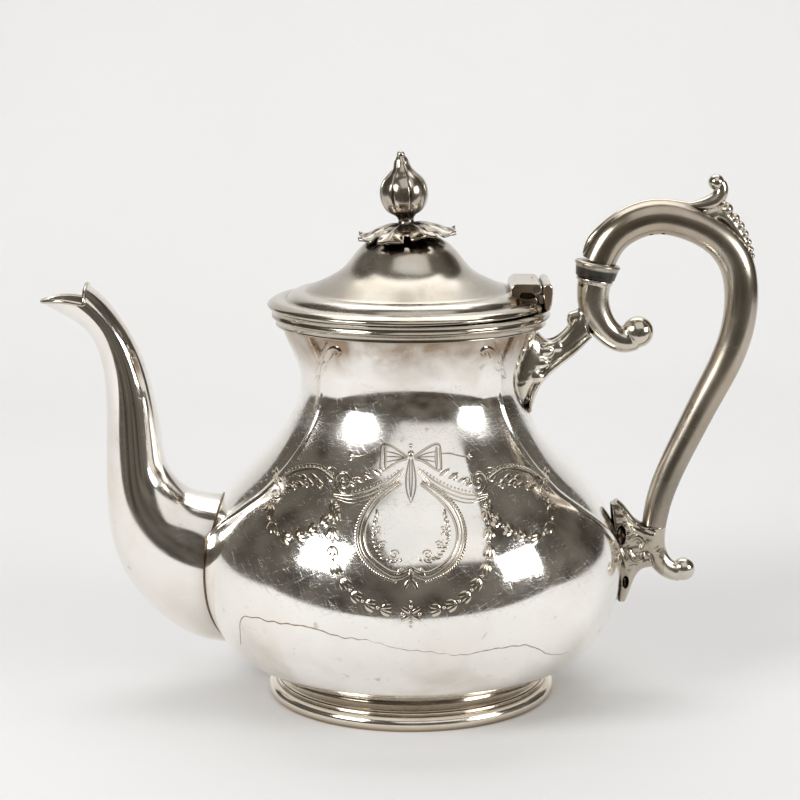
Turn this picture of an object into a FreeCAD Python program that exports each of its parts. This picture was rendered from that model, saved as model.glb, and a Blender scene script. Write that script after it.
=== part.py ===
"""Silver plated teapot with a hinged lid, a curved spout and a hollow scroll handle.

Millimetres. +Z is up, the table is z = 0 and the origin is the middle of the foot.
The spout points along -X, the handle along +X and the front lobe faces -Y.
"""
import FreeCAD, Part
import math
import os

V = FreeCAD.Vector

# Body sheet: outside sizes of the side profile, with each height a rise above the one before it
seat_inset = 33.5
seat_height = 9.0
flank_inset = 12.5
flank_rise = 10.0
belly_radius = 80.0
belly_rise = 26.0
shoulder_inset = 11.0
shoulder_rise = 34.0
neck_inset = 18.7
neck_rise = 20.5
waist_radius = 41.3
waist_rise = 21.5
flare_hollow = 0.65
mouth_radius = 51.2
rim_rise = 27.4
body_wall = 1.2
base_seam_rise = 5.0

# Pleats between the lobes and the side panels, as angles from the front and a rise off the sheet
pleat_belly_angle = 84.0
pleat_shoulder_angle = 63.0
pleat_neck_angle = 55.0
pleat_waist_angle = 52.0
pleat_flare_angle = 44.0
pleat_mouth_angle = 37.0
pleat_rise = 1.2

# Bottom plate under the body
bottom_flange_width = 6.5
bottom_plate_lap = 4.0
bottom_plate_thickness = 1.2

# Foot ring
foot_spread = 9.0
foot_tread_width = 3.0
foot_tread_inset = 1.5
foot_bead_height = 5.4
foot_bead_width = 3.5
foot_groove_width = 1.4
foot_neck_margin = 1.3
foot_wall = 1.5

# Mouth band
rim_overhang = 1.5
rim_band_height = 6.0
rim_bead_height = 2.7

# Strainer pierced in the body behind the spout
strainer_hole_radius = 2.0
strainer_pitch = 7.0

# Lid: widths from its edge inwards, the dome's own radius, and heights above its base
lid_gap = 0.3
lid_shift = -1.5
lid_setback = 0.5
lid_wall = 1.2
lid_seat_width = 7.2
lid_bead_width = 7.0
lid_bead_height = 3.0
lid_ring_width = 6.7
lid_step_height = 6.2
lid_flare_width = 8.0
lid_flare_height = 9.8
lid_waist_spread = 6.3
lid_waist_height = 14.3
lid_dome_radius = 17.3
lid_dome_height = 21.8
lid_crown_height = 28.0
bezel_clearance = 4.0
bezel_wall = 1.0
bezel_depth = 4.2

# Finial on the lid, with heights above the crown
finial_lean = 4.5
bud_base_height = 5.0
bud_radius = 8.7
bud_height = 13.2
bud_neck_radius = 2.1
bud_neck_height = 25.0
bud_tip_radius = 1.7
bud_top = 29.6
bud_ribs = 8
bud_groove_width = 0.7
bud_groove_depth = 0.5
stem_radius = 3.0
leaf_count = 8
leaf_length = 19.8
leaf_width = 11.0
leaf_thickness = 1.0
leaf_drop = 2.0
leaf_hub_radius = 4.4
leaf_hub_height = 2.4
stud_radius = 1.8
stud_length = 7.0
washer_radius = 6.0
washer_thickness = 1.6
nut_across_flats = 7.0
nut_thickness = 3.0

# Hinge behind the lid
hinge_inset = 4.4
hinge_rise = 8.0
hinge_half_length = 14.0
hinge_barrel_radius = 2.0
hinge_pin_radius = 1.0
hinge_knuckle_half = 4.8
hinge_gap = 0.3
hinge_running_clearance = 0.05
hinge_strap_reach = 9.6
hinge_strap_width = 4.2
hinge_strap_cover = 1.4
hinge_ear_cover = 1.2
hinge_ear_thickness = 3.0
hinge_crescent_height = 2.6

# Handle tube: reach beyond the mouth and height above the rim, then beyond and above the belly, and tube radius
handle_tilt = 10.5
handle_wall = 1.2
handle_top_reach = 18.7
handle_top_height = 16.6
handle_upper = [
    (23.2, 25.0, 6.4),
    (30.0, 30.4, 6.45),
    (40.3, 33.4, 6.5),
    (52.4, 31.2, 6.5),
    (63.2, 25.4, 6.5),
    (70.0, 16.6, 6.45),
    (72.4, 5.4, 6.3),
    (71.6, -7.2, 6.15),
]
handle_lower = [
    (38.8, 83.0, 6.0),
    (32.2, 69.4, 5.7),
    (23.8, 52.0, 5.35),
    (17.6, 38.0, 5.1),
    (14.1, 26.8, 4.85),
]
handle_top_radius = 6.4
handle_foot_reach = 12.8
handle_foot_height = 19.0
handle_foot_radius = 4.6
vent_radius = 0.5
vent_spacing = 3.0

# Heat break between the handle and its upper socket
insulator_height = 6.1
insulator_top_radius = 8.5
insulator_foot_radius = 7.3
insulator_peg_radius = 4.2
insulator_peg_length = 6.0
insulator_peg_clearance = 0.05
socket_pin_radius = 0.7
socket_pin_offset = 3.2
socket_pin_angle = 52.0

# Upper socket: the scroll below the heat break, with offsets from the foot of the break
socket_radius = 6.5
upper_scroll = [
    (-0.6, -7.6, 6.0),
    (1.4, -15.1, 5.6),
    (5.7, -20.8, 5.0),
    (11.5, -23.7, 4.6),
]
upper_volute_reach = 16.5
upper_volute_drop = 20.4
upper_volute_radius = 6.0
upper_bracket_half_width = 4.5

# Lower socket: scroll and bracket, with offsets from the belly
lower_scroll = [
    (13.0, 12.0, 4.1),
    (15.0, 5.6, 3.9),
    (19.0, 1.6, 3.7),
]
lower_volute_reach = 24.4
lower_volute_height = 1.2
lower_volute_radius = 4.6
lower_bracket_half_width = 6.0
lower_window_radius = 2.4
lower_peg_length = 7.0
lower_peg_clearance = 0.4

# Thumb scroll on the crown of the handle, beyond the mouth and above the rim
thumb_half_width = 2.6
thumb_spine_radius = 1.2
thumb_beads = [
    (66.1, 36.0, 2.2),
    (70.9, 31.5, 1.9),
    (74.0, 26.2, 1.5),
    (75.9, 21.8, 1.1),
]

# Spout sections: under edge and upper edge beyond the belly, heights, and half width
spout_wall = 1.2
spout_lower = [
    (-18.0, -27.0, -18.0, 30.0, 24.0),
    (1.5, -24.6, -3.5, 31.4, 22.5),
    (21.9, -9.8, 5.6, 34.4, 18.5),
    (33.2, 11.0, 11.6, 41.2, 15.0),
    (35.6, 40.0, 14.2, 50.4, 12.4),
]
spout_upper = [
    (35.0, -42.4, 15.8, -40.4, 10.8),
    (36.1, -22.4, 20.3, -21.4, 9.7),
    (41.2, -9.8, 27.2, -6.8, 9.0),
    (50.4, -3.0, 36.8, 5.2, 8.6),
    (62.0, 3.6, 48.6, 13.4, 8.4),
]
spout_lip_height = 1.6
spout_notch_reach = 42.2

# Sizes that follow from the ones above
seat_radius = belly_radius - seat_inset
flank_radius = belly_radius - flank_inset
shoulder_radius = belly_radius - shoulder_inset
neck_radius = shoulder_radius - neck_inset
flare_radius = (waist_radius + mouth_radius) / 2 - flare_hollow
flank_height = seat_height + flank_rise
belly_height = flank_height + belly_rise
shoulder_height = belly_height + shoulder_rise
neck_height = shoulder_height + neck_rise
waist_height = neck_height + waist_rise
rim_height = waist_height + rim_rise
bottom_hole_radius = seat_radius - bottom_flange_width
foot_radius = seat_radius + foot_spread
foot_neck_radius = seat_radius + foot_neck_margin
rim_radius = mouth_radius + rim_overhang
lid_radius = rim_radius - lid_setback
lid_bead_radius = lid_radius - lid_bead_width
lid_step_radius = lid_bead_radius - lid_ring_width
lid_flare_radius = lid_step_radius - lid_flare_width
lid_waist_radius = lid_dome_radius + lid_waist_spread
lid_seat_radius = lid_radius - lid_seat_width
bezel_radius = mouth_radius - bezel_clearance
lid_base = rim_height + lid_gap
hinge_x = lid_shift + lid_radius - hinge_inset
hinge_z = lid_base + hinge_rise
crown_z = lid_base + lid_crown_height
handle_axis = V(math.sin(math.radians(handle_tilt)), 0, math.cos(math.radians(handle_tilt)))
handle_top = V(mouth_radius + handle_top_reach, 0, rim_height + handle_top_height)
handle_foot = V(belly_radius + handle_foot_reach, 0, belly_height + handle_foot_height)
socket_top = handle_top - handle_axis * insulator_height
far = 3 * belly_radius


def at(x, z):
    """Point in the middle plane."""
    return V(x, 0, z)


def line(start, end):
    return Part.LineSegment(start, end).toShape()


def arc(start, middle, end):
    return Part.Arc(start, middle, end).toShape()


def spline(points, **tangents):
    curve = Part.BSplineCurve()
    curve.interpolate(Points=points, **tangents)
    return curve


def turned(edges):
    """Solid of revolution about the Z axis from a closed outline in the middle plane."""
    return Part.Face(Part.Wire(edges)).revolve(V(0, 0, 0), V(0, 0, 1), 360)


def plate(points, half_width):
    """Flat casting: a closed smooth outline in the middle plane, given its width along Y."""
    curve = Part.BSplineCurve()
    curve.interpolate(Points=points, PeriodicFlag=True)
    face = Part.Face(Part.Wire([curve.toShape()]))
    face.translate(V(0, -half_width, 0))
    return face.extrude(V(0, 2 * half_width, 0))


def box(x_min, x_max, half_width, z_min, z_max):
    return Part.makeBox(x_max - x_min, 2 * half_width, z_max - z_min, V(x_min, -half_width, z_min))


def rod(radius, start, end):
    return Part.makeCylinder(radius, (end - start).Length, start, end - start)


def ball(radius, center):
    return Part.makeSphere(radius, center)


def oval(center, up, half_height, half_width):
    """Closed oval in the plane of Y and up, started at the same side every time."""
    side = V(0, 1, 0)
    normal = side.cross(up)
    matrix = FreeCAD.Matrix(
        side.x * half_width, up.x * half_height, normal.x, center.x,
        side.y * half_width, up.y * half_height, normal.y, center.y,
        side.z * half_width, up.z * half_height, normal.z, center.z,
    )
    return Part.Wire(Part.makeCircle(1).toNurbs().transformGeometry(matrix).Edges)


def tube_sections(points, radii):
    """Circles at the points, square to the smooth line that joins them."""
    path = spline(points)
    wires = []
    for point, radius in zip(points, radii):
        along = path.tangent(path.parameter(point))[0]
        up = along.cross(V(0, 1, 0)).normalize()
        wires.append(oval(point, up, radius, radius))
    return wires


def tube(points, radii):
    """Round bar through the points."""
    return Part.makeLoft(tube_sections(points, radii), True, False)


def hollow(outer, inner):
    """Pipe between an outer and an inner skin, closed by a flat ring at each end."""
    faces = Part.makeLoft(outer, False, False).Faces + Part.makeLoft(inner, False, False).Faces
    for end in (0, -1):
        faces.append(Part.makeFace([outer[end], inner[end]], "Part::FaceMakerBullseye"))
    skin = Part.makeCompound(faces)
    skin.sewShape()
    pipe = Part.makeSolid(skin.Shells[0])
    if pipe.Volume < 0:
        pipe.reverse()
    return pipe


def body_stations():
    """Side profile from the seat to the mouth: radius, height, pleat angle and pleat rise."""
    flare_height = (waist_height + rim_height) / 2
    return [
        (seat_radius, seat_height, pleat_belly_angle, 0),
        (flank_radius, flank_height, pleat_belly_angle, 0),
        (belly_radius, belly_height, pleat_belly_angle, 0),
        (shoulder_radius, shoulder_height, pleat_shoulder_angle, pleat_rise),
        (neck_radius, neck_height, pleat_neck_angle, pleat_rise),
        (waist_radius, waist_height, pleat_waist_angle, pleat_rise),
        (flare_radius, flare_height, pleat_flare_angle, pleat_rise),
        (mouth_radius, rim_height, pleat_mouth_angle, 0),
    ]


def inside_stations():
    """The same profile moved in by the sheet's thickness."""
    outside = body_stations()
    first, last = outside[0], outside[-1]
    inside = [(first[0], first[1] + body_wall, first[2], first[3])]
    for below, here, above in zip(outside, outside[1:], outside[2:]):
        run = above[0] - below[0]
        rise = above[1] - below[1]
        length = math.hypot(run, rise)
        radius = here[0] - body_wall * rise / length
        height = here[1] + body_wall * run / length
        inside.append((radius, height, here[2], here[3]))
    inside.append((last[0] - body_wall, last[1], last[2], last[3]))
    return inside


def lobed_section(radius, height, pleat_angle, rise):
    """Outline of four arcs, front lobe, side panel, back lobe and side panel, that meet at the pleats."""
    x = (radius + rise) * math.sin(math.radians(pleat_angle))
    y = (radius + rise) * math.cos(math.radians(pleat_angle))
    front_left, front_right = V(-x, -y, height), V(x, -y, height)
    back_left, back_right = V(-x, y, height), V(x, y, height)
    return Part.Wire([
        arc(front_left, V(0, -radius - rise, height), front_right),
        arc(front_right, V(radius, 0, height), back_right),
        arc(back_right, V(0, radius + rise, height), back_left),
        arc(back_left, V(-radius, 0, height), front_left),
    ])


def lobed_solid(stations):
    return Part.makeLoft([lobed_section(*station) for station in stations], True, False)


def spout_sections(inset):
    """Ovals along the spout from inside the belly to past the lip."""
    wires = []
    for base, stations in ((belly_height, spout_lower), (rim_height, spout_upper)):
        for under_reach, under_height, upper_reach, upper_height, half_width in stations:
            under = at(-belly_radius - under_reach, base + under_height)
            upper = at(-belly_radius - upper_reach, base + upper_height)
            up = (upper - under).normalize()
            half_height = under.distanceToPoint(upper) / 2 - inset
            wires.append(oval((under + upper) / 2, up, half_height, half_width - inset))
    return wires


def strainer_holes():
    """Round holes through the belly wall, in a hexagon of 19 inside the spout's root."""
    row_pitch = strainer_pitch * math.sqrt(3) / 2
    holes = []
    for row in range(-2, 3):
        count = 5 - abs(row)
        for place in range(count):
            y = (place - (count - 1) / 2) * strainer_pitch
            z = belly_height + row * row_pitch
            holes.append(rod(strainer_hole_radius, V(-2 * belly_radius, y, z), V(-belly_radius / 2, y, z)))
    return holes


def body_sheet(envelope):
    """Whole hollow body, open at the bottom and pierced for the strainer."""
    cavity = lobed_solid(inside_stations())
    bottom_hole = rod(bottom_hole_radius, V(0, 0, 0), V(0, 0, seat_height + 2 * body_wall))
    return envelope.cut(cavity).cut(bottom_hole).cut(strainer_holes())


def between(shape, low, high):
    """The part of a shape from one height to another."""
    return shape.common(box(-far, far, far, low, high))


def make_bottom_plate():
    radius = bottom_hole_radius + bottom_plate_lap
    return rod(radius, V(0, 0, seat_height - bottom_plate_thickness), V(0, 0, seat_height))


def make_foot_ring(envelope):
    """Ring with a rolled bead on the table, a groove and a cove that runs up to the body."""
    tread_out = foot_radius - foot_tread_inset
    tread_in = tread_out - foot_tread_width
    bead_in = foot_radius - foot_bead_width
    groove = bead_in - foot_groove_width
    inside = foot_neck_radius - foot_wall
    top = seat_height + foot_bead_height
    cove_middle = at((groove + 2 * foot_neck_radius) / 3, (foot_bead_height + seat_height) / 2)
    ring = turned([
        line(at(tread_in, 0), at(tread_out, 0)),
        arc(at(tread_out, 0), at(foot_radius, foot_bead_height * 0.48), at(bead_in, foot_bead_height)),
        line(at(bead_in, foot_bead_height), at(groove, foot_bead_height)),
        arc(at(groove, foot_bead_height), cove_middle, at(foot_neck_radius, seat_height)),
        line(at(foot_neck_radius, seat_height), at(foot_neck_radius, top)),
        line(at(foot_neck_radius, top), at(inside, top)),
        line(at(inside, top), at(inside, foot_bead_height)),
        line(at(inside, foot_bead_height), at(tread_in, 0)),
    ])
    return ring.cut(envelope)


def make_rim_band(envelope):
    """Two beads, one over the other, round the outside of the mouth."""
    crease = rim_height - rim_bead_height
    foot = rim_height - rim_band_height
    flat = 0.6
    inside = waist_radius
    upper_out = rim_radius - flat
    lower_out = (rim_radius + mouth_radius) / 2 - flat
    lower_middle = at(rim_radius - flat / 2, (crease + foot) / 2)
    band = turned([
        line(at(inside, rim_height), at(upper_out, rim_height)),
        arc(at(upper_out, rim_height), at(rim_radius, (rim_height + crease) / 2), at(upper_out, crease)),
        arc(at(upper_out, crease), lower_middle, at(lower_out - flat, foot)),
        line(at(lower_out - flat, foot), at(inside, foot)),
        line(at(inside, foot), at(inside, rim_height)),
    ])
    return band.cut(envelope)


def make_spout(envelope):
    """Curved tapering tube, cut level at the lip with a stepped back edge."""
    pipe = hollow(spout_sections(0), spout_sections(spout_wall))
    lip_z = rim_height + spout_lip_height
    notch_x = -belly_radius - spout_notch_reach
    above_lip = box(-far, notch_x, belly_radius, lip_z, far)
    return pipe.cut(envelope).cut(above_lip)


def lid_outline(drop):
    """Dome of the lid from the crown to the step, lowered by drop."""
    points = [
        at(0, lid_base + lid_crown_height - drop),
        at(lid_dome_radius, lid_base + lid_dome_height - drop),
        at(lid_waist_radius, lid_base + lid_waist_height - drop),
        at(lid_flare_radius, lid_base + lid_flare_height - drop),
        at(lid_step_radius, lid_base + lid_step_height - drop),
    ]
    return spline(points, InitialTangent=V(lid_dome_radius, 0, 0), FinalTangent=V(6.0, 0, -2.0)).toShape()


def lid_edge():
    """Two round beads from the step out to the rim of the lid."""
    edge_radius = lid_radius - 0.5
    step = at(lid_step_radius, lid_base + lid_step_height)
    ring_height = (lid_step_height + lid_bead_height) / 2 + 0.7
    ring = at((lid_step_radius + lid_bead_radius) / 2, lid_base + ring_height)
    crease = at(lid_bead_radius, lid_base + lid_bead_height)
    bead = at((lid_bead_radius + lid_radius) / 2, lid_base + lid_bead_height * 0.82)
    rim = at(lid_radius, lid_base + lid_bead_height * 0.3)
    return [
        arc(step, ring, crease),
        arc(crease, bead, rim),
        line(rim, at(edge_radius, lid_base)),
    ]


def lid_filled():
    """The lid without its hollow."""
    edge_radius = lid_radius - 0.5
    solid = turned([
        lid_outline(0),
        *lid_edge(),
        line(at(edge_radius, lid_base), at(0, lid_base)),
        line(at(0, lid_base), at(0, crown_z)),
    ])
    return solid.translate(V(lid_shift, 0, 0))


def lid_sheet():
    """Hollow turned dome before it is cut for the hinge and the finial."""
    edge_radius = lid_radius - 0.5
    inner_step = at(lid_step_radius, lid_base + lid_step_height - lid_wall)
    inner_corner = at(lid_seat_radius, lid_base + lid_bead_height - lid_wall)
    seat = at(lid_seat_radius, lid_base)
    shell = turned([
        lid_outline(0),
        *lid_edge(),
        line(at(edge_radius, lid_base), seat),
        line(seat, inner_corner),
        line(inner_corner, inner_step),
        lid_outline(lid_wall),
        line(at(0, crown_z - lid_wall), at(0, crown_z)),
    ])
    return shell.translate(V(lid_shift, 0, 0))


def make_lid_shell(sheet):
    """The dome cut straight along the hinge and drilled for the finial."""
    behind_hinge = box(hinge_x - hinge_gap, far, belly_radius, 0, far)
    stud_hole = on_finial_axis(rod(stud_radius, V(0, 0, -stud_length), V(0, 0, leaf_hub_height)))
    return sheet.cut(behind_hinge).cut(stud_hole)


def make_lid_bezel():
    """Ring under the lid that drops inside the mouth."""
    low, high = V(lid_shift, 0, lid_base - bezel_depth), V(lid_shift, 0, lid_base)
    return rod(bezel_radius, low, high).cut(rod(bezel_radius - bezel_wall, low, high))


def on_finial_axis(shape):
    """Carry a shape made round Z from the origin to the crown of the lid, leaning to the spout."""
    shape.rotate(V(0, 0, 0), V(0, 1, 0), -finial_lean)
    shape.translate(V(lid_shift, 0, crown_z))
    return shape


def make_finial_bud():
    """Ribbed seed pod with a small ball on top, on a stem with a stud for the nut."""
    side = [
        at(stem_radius, bud_base_height),
        at(bud_radius * 0.86, (bud_base_height + bud_height) / 2),
        at(bud_radius, bud_height),
        at(bud_radius * 0.78, bud_height + (bud_neck_height - bud_height) * 0.48),
        at(bud_neck_radius, bud_neck_height),
    ]
    profile = spline(side)
    tip = bud_top - bud_tip_radius
    pod = turned([
        line(at(0, leaf_hub_height), at(stem_radius, leaf_hub_height)),
        line(at(stem_radius, leaf_hub_height), side[0]),
        profile.toShape(),
        line(side[-1], at(bud_tip_radius * 0.8, tip)),
        line(at(bud_tip_radius * 0.8, tip), at(0, tip)),
        line(at(0, tip), at(0, leaf_hub_height)),
    ])
    low, high = profile.parameter(side[1]), profile.parameter(side[3])
    groove_edge = [profile.value(low + (high - low) * step / 4) for step in range(5)]
    outer = [point + V(bud_groove_depth, 0, 0) for point in groove_edge]
    deepest = [point - V(bud_groove_depth, 0, 0) for point in groove_edge[1:-1]]
    inner = [groove_edge[0], *deepest, groove_edge[-1]]
    blade_face = Part.Face(Part.Wire([
        spline(inner).toShape(),
        line(inner[-1], outer[-1]),
        spline(outer).toShape(),
        line(outer[0], inner[0]),
    ]))
    blade_face.translate(V(0, -bud_groove_width / 2, 0))
    blade = blade_face.extrude(V(0, bud_groove_width, 0))
    blades = []
    for rib in range(bud_ribs):
        turned_blade = blade.copy()
        turned_blade.rotate(V(0, 0, 0), V(0, 0, 1), (rib + 0.5) * 360 / bud_ribs)
        blades.append(turned_blade)
    stud = rod(stud_radius, V(0, 0, -stud_length), V(0, 0, bud_base_height))
    bud = pod.cut(blades).fuse([ball(bud_tip_radius, V(0, 0, tip)), stud])
    return on_finial_axis(bud.removeSplitter())


def make_finial_leaves(lid):
    """Rosette of leaves: a drooping turned sheet, trimmed to the leaves' outline, round a hub."""
    top = [
        at(0, leaf_hub_height - 0.4),
        at(leaf_length * 0.3, leaf_hub_height - 0.3),
        at(leaf_length * 0.62, leaf_hub_height * 0.3),
        at(leaf_length * 0.9, -leaf_drop),
        at(leaf_length * 1.02, -leaf_drop),
    ]
    under = [point - V(0, 0, leaf_thickness) for point in top]
    sheet = turned([
        spline(top, InitialTangent=V(1, 0, 0)).toShape(),
        line(top[-1], under[-1]),
        spline(under, InitialTangent=V(1, 0, 0)).toShape(),
        line(under[0], top[0]),
    ])
    half = leaf_width / 2
    tip = V(leaf_length, 0, 0)
    outline = Part.Face(Part.Wire([
        line(V(0, half * 0.3, 0), V(0, -half * 0.3, 0)),
        arc(V(0, -half * 0.3, 0), V(leaf_length * 0.62, -half, 0), tip),
        arc(tip, V(leaf_length * 0.62, half, 0), V(0, half * 0.3, 0)),
    ]))
    outline.translate(V(0, 0, -leaf_length))
    leaf = outline.extrude(V(0, 0, 2 * leaf_length))
    stencil = rod(leaf_hub_radius, V(0, 0, -leaf_length), V(0, 0, leaf_length))
    leaves = []
    for number in range(leaf_count):
        one = leaf.copy()
        one.rotate(V(0, 0, 0), V(0, 0, 1), (number + 0.5) * 360 / leaf_count)
        leaves.append(one)
    hub = rod(leaf_hub_radius, V(0, 0, -leaf_hub_height), V(0, 0, leaf_hub_height))
    stud_hole = rod(stud_radius, V(0, 0, -leaf_length), V(0, 0, leaf_length))
    rosette = sheet.common(stencil.fuse(leaves)).fuse(hub).cut(stud_hole)
    return on_finial_axis(rosette).cut(lid)


def make_finial_washer(sheet):
    low, high = V(0, 0, -lid_wall - washer_thickness), V(0, 0, -lid_wall)
    washer = rod(washer_radius, low, high).cut(rod(stud_radius, low, high))
    return on_finial_axis(washer).cut(sheet)


def make_finial_nut():
    top = -lid_wall - washer_thickness
    corner = nut_across_flats / math.sqrt(3)
    corners = [V(corner, 0, top)]
    for turn in range(1, 7):
        angle = math.radians(60 * turn)
        corners.append(V(corner * math.cos(angle), corner * math.sin(angle), top))
    nut = Part.Face(Part.makePolygon(corners)).extrude(V(0, 0, -nut_thickness))
    return on_finial_axis(nut.cut(rod(stud_radius, V(0, 0, top - nut_thickness), V(0, 0, top))))


def hinge_rod(radius, half_length):
    return rod(radius, V(hinge_x, -half_length, hinge_z), V(hinge_x, half_length, hinge_z))


def make_hinge_lid_leaf(lid):
    """Strap on the lid that arches over to the two outer knuckles."""
    reach = hinge_x - hinge_strap_reach
    top = hinge_z + hinge_strap_cover
    foot = box(reach, reach + hinge_strap_width, hinge_half_length, lid_base, top)
    arm = box(reach, hinge_x, hinge_half_length, hinge_z - hinge_barrel_radius, top)
    gap = box(
        hinge_x - hinge_barrel_radius - hinge_gap, hinge_x + 2 * hinge_barrel_radius,
        hinge_knuckle_half + hinge_gap, 0, far)
    leaf = foot.fuse([arm, hinge_rod(hinge_barrel_radius, hinge_half_length)])
    leaf = leaf.cut(gap).cut(hinge_rod(hinge_pin_radius + hinge_running_clearance, far))
    return leaf.cut(lid)


def make_hinge_body_leaf():
    """Ear on the mouth band with the middle knuckle, on a crescent that completes the lid's outline."""
    ear_x = hinge_x + hinge_barrel_radius + hinge_gap
    ear_back = ear_x + hinge_ear_thickness
    ear_top = hinge_z + hinge_ear_cover
    crescent = rod(lid_radius + lid_shift, V(0, 0, rim_height), V(0, 0, rim_height + hinge_crescent_height))
    crescent = crescent.cut(box(-far, hinge_x + hinge_gap, far, 0, far))
    ear = box(ear_x, ear_back, hinge_half_length, rim_height, ear_top)
    web = box(hinge_x, ear_back, hinge_knuckle_half, hinge_z - hinge_barrel_radius, ear_top)
    leaf = crescent.fuse([ear, web, hinge_rod(hinge_barrel_radius, hinge_knuckle_half)])
    return leaf.cut(hinge_rod(hinge_pin_radius, far))


def make_hinge_pin():
    return hinge_rod(hinge_pin_radius, hinge_half_length + hinge_gap)


def handle_path(inset):
    """Centre points and radii of the handle from the heat break round to the lower socket."""
    points, radii = [handle_top], [handle_top_radius - inset]
    mouth, belly = at(mouth_radius, rim_height), at(belly_radius, belly_height)
    for base, stations in ((mouth, handle_upper), (belly, handle_lower)):
        for reach, height, radius in stations:
            points.append(base + at(reach, height))
            radii.append(radius - inset)
    points.append(handle_foot)
    radii.append(handle_foot_radius - inset)
    return points, radii


def vent_holes():
    """Two small vents in the underside of the arch that let hot air out of the tube."""
    crown = at(mouth_radius + handle_upper[2][0], rim_height + handle_upper[2][1])
    holes = []
    for side in (-0.5, 0.5):
        start = crown + V(side * vent_spacing, 0, 0)
        holes.append(rod(vent_radius, start, start - V(0, 0, 2 * handle_top_radius)))
    return holes


def insulator_collar():
    return Part.makeCone(
        insulator_foot_radius, insulator_top_radius, insulator_height, socket_top, handle_axis)


def make_handle_tube(collar, pin_hole, foot_pin_hole):
    """Hollow tube, faced square where it stands on the collar."""
    pipe = hollow(tube_sections(*handle_path(0)), tube_sections(*handle_path(handle_wall)))
    return pipe.cut(collar).cut(vent_holes()).cut([pin_hole, foot_pin_hole])


def make_insulator(collar, pin_holes):
    """Dark collar with a peg up into the handle and a peg down into the socket."""
    reach = handle_axis * insulator_peg_length
    peg = rod(insulator_peg_radius, socket_top - reach, handle_top + reach)
    return collar.fuse(peg).cut(pin_holes)


def cross_pin(center, axis, angle, half_length):
    """Pin square to an axis, turned about it by an angle from Y."""
    direction = FreeCAD.Rotation(axis, angle).multVec(V(0, 1, 0))
    return rod(socket_pin_radius, center - direction * half_length, center + direction * half_length)


def upper_scroll_bar():
    """Scroll of the upper socket, from the heat break down to its volute."""
    points, radii = [socket_top], [socket_radius]
    for reach, height, radius in upper_scroll:
        points.append(socket_top + at(reach, height))
        radii.append(radius)
    volute = socket_top + at(upper_volute_reach, -upper_volute_drop)
    return tube(points, radii).fuse(ball(upper_volute_radius, volute))


def upper_bracket():
    """Leaf shaped arm from the scroll to the neck of the body."""
    neck = at(waist_radius, waist_height)
    outline = [
        socket_top + at(0, -12.0),
        socket_top + at(-7.4, -12.0),
        socket_top + at(-10.2, -14.8),
        socket_top + at(-10.8, -18.6),
        socket_top + at(-14.4, -21.4),
        neck + at(8.0, 18.6),
        neck + at(-6.0, 22.0),
        neck + at(-12.0, 6.0),
        neck + at(-4.0, -12.6),
        neck + at(3.0, -12.2),
        neck + at(3.9, -6.0),
        neck + at(7.6, 0.4),
        socket_top + at(-11.0, -30.8),
        socket_top + at(-3.4, -24.6),
    ]
    return plate(outline, upper_bracket_half_width)


def make_upper_socket(scroll, envelope, collar, pin_hole):
    """Scroll and arm, faced square under the collar and bored for its peg."""
    peg_end = socket_top - handle_axis * (insulator_peg_length + insulator_peg_clearance)
    peg_hole = rod(insulator_peg_radius + insulator_peg_clearance, peg_end, socket_top + handle_axis)
    casting = scroll.fuse(upper_bracket().cut(envelope))
    return casting.cut([peg_hole, collar]).cut(pin_hole)


def lower_bracket():
    """Openwork leaf plate against the belly, with two windows."""
    belly = at(belly_radius, belly_height)
    outline = [
        belly + at(-12.0, 26.6),
        belly + at(-1.6, 26.8),
        belly + at(2.4, 21.6),
        belly + at(8.2, 18.4),
        belly + at(12.6, 16.0),
        belly + at(13.0, 6.0),
        belly + at(9.2, 2.4),
        belly + at(6.0, -2.0),
        belly + at(4.4, -8.0),
        belly + at(-2.0, -12.6),
        belly + at(-14.0, -8.0),
        belly + at(-16.0, 10.0),
    ]
    windows = []
    for reach, height in ((1.2, 15.4), (3.2, -2.6)):
        center = belly + at(reach, height)
        side = V(0, 2 * lower_bracket_half_width, 0)
        windows.append(rod(lower_window_radius, center - side, center + side))
    return plate(outline, lower_bracket_half_width).cut(windows)


def make_lower_socket(envelope, handle_filled, pin_hole):
    """Scroll under the handle's lower end, with a peg into the tube and a bracket to the belly."""
    points, radii = [handle_foot], [handle_foot_radius]
    for reach, height, radius in lower_scroll:
        points.append(at(belly_radius + reach, belly_height + height))
        radii.append(radius)
    volute = at(belly_radius + lower_volute_reach, belly_height + lower_volute_height)
    points.append(volute - V(lower_volute_radius * 0.4, 0, lower_volute_radius * 0.15))
    radii.append(radii[-1])
    handle_end = tube_sections(*handle_path(0))[-1]
    bar = Part.makeLoft([handle_end, *tube_sections(points, radii)[1:]], True, False)
    scroll = bar.fuse(ball(lower_volute_radius, volute))
    casting = scroll.fuse(lower_bracket().cut([envelope, handle_filled]))
    peg_radius = handle_foot_radius - handle_wall - lower_peg_clearance
    path = spline(handle_path(0)[0])
    upward = path.tangent(path.parameter(handle_foot))[0] * -1
    peg = rod(peg_radius, handle_foot - upward, handle_foot + upward * lower_peg_length)
    return casting.fuse(peg).cut(pin_hole)


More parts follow.
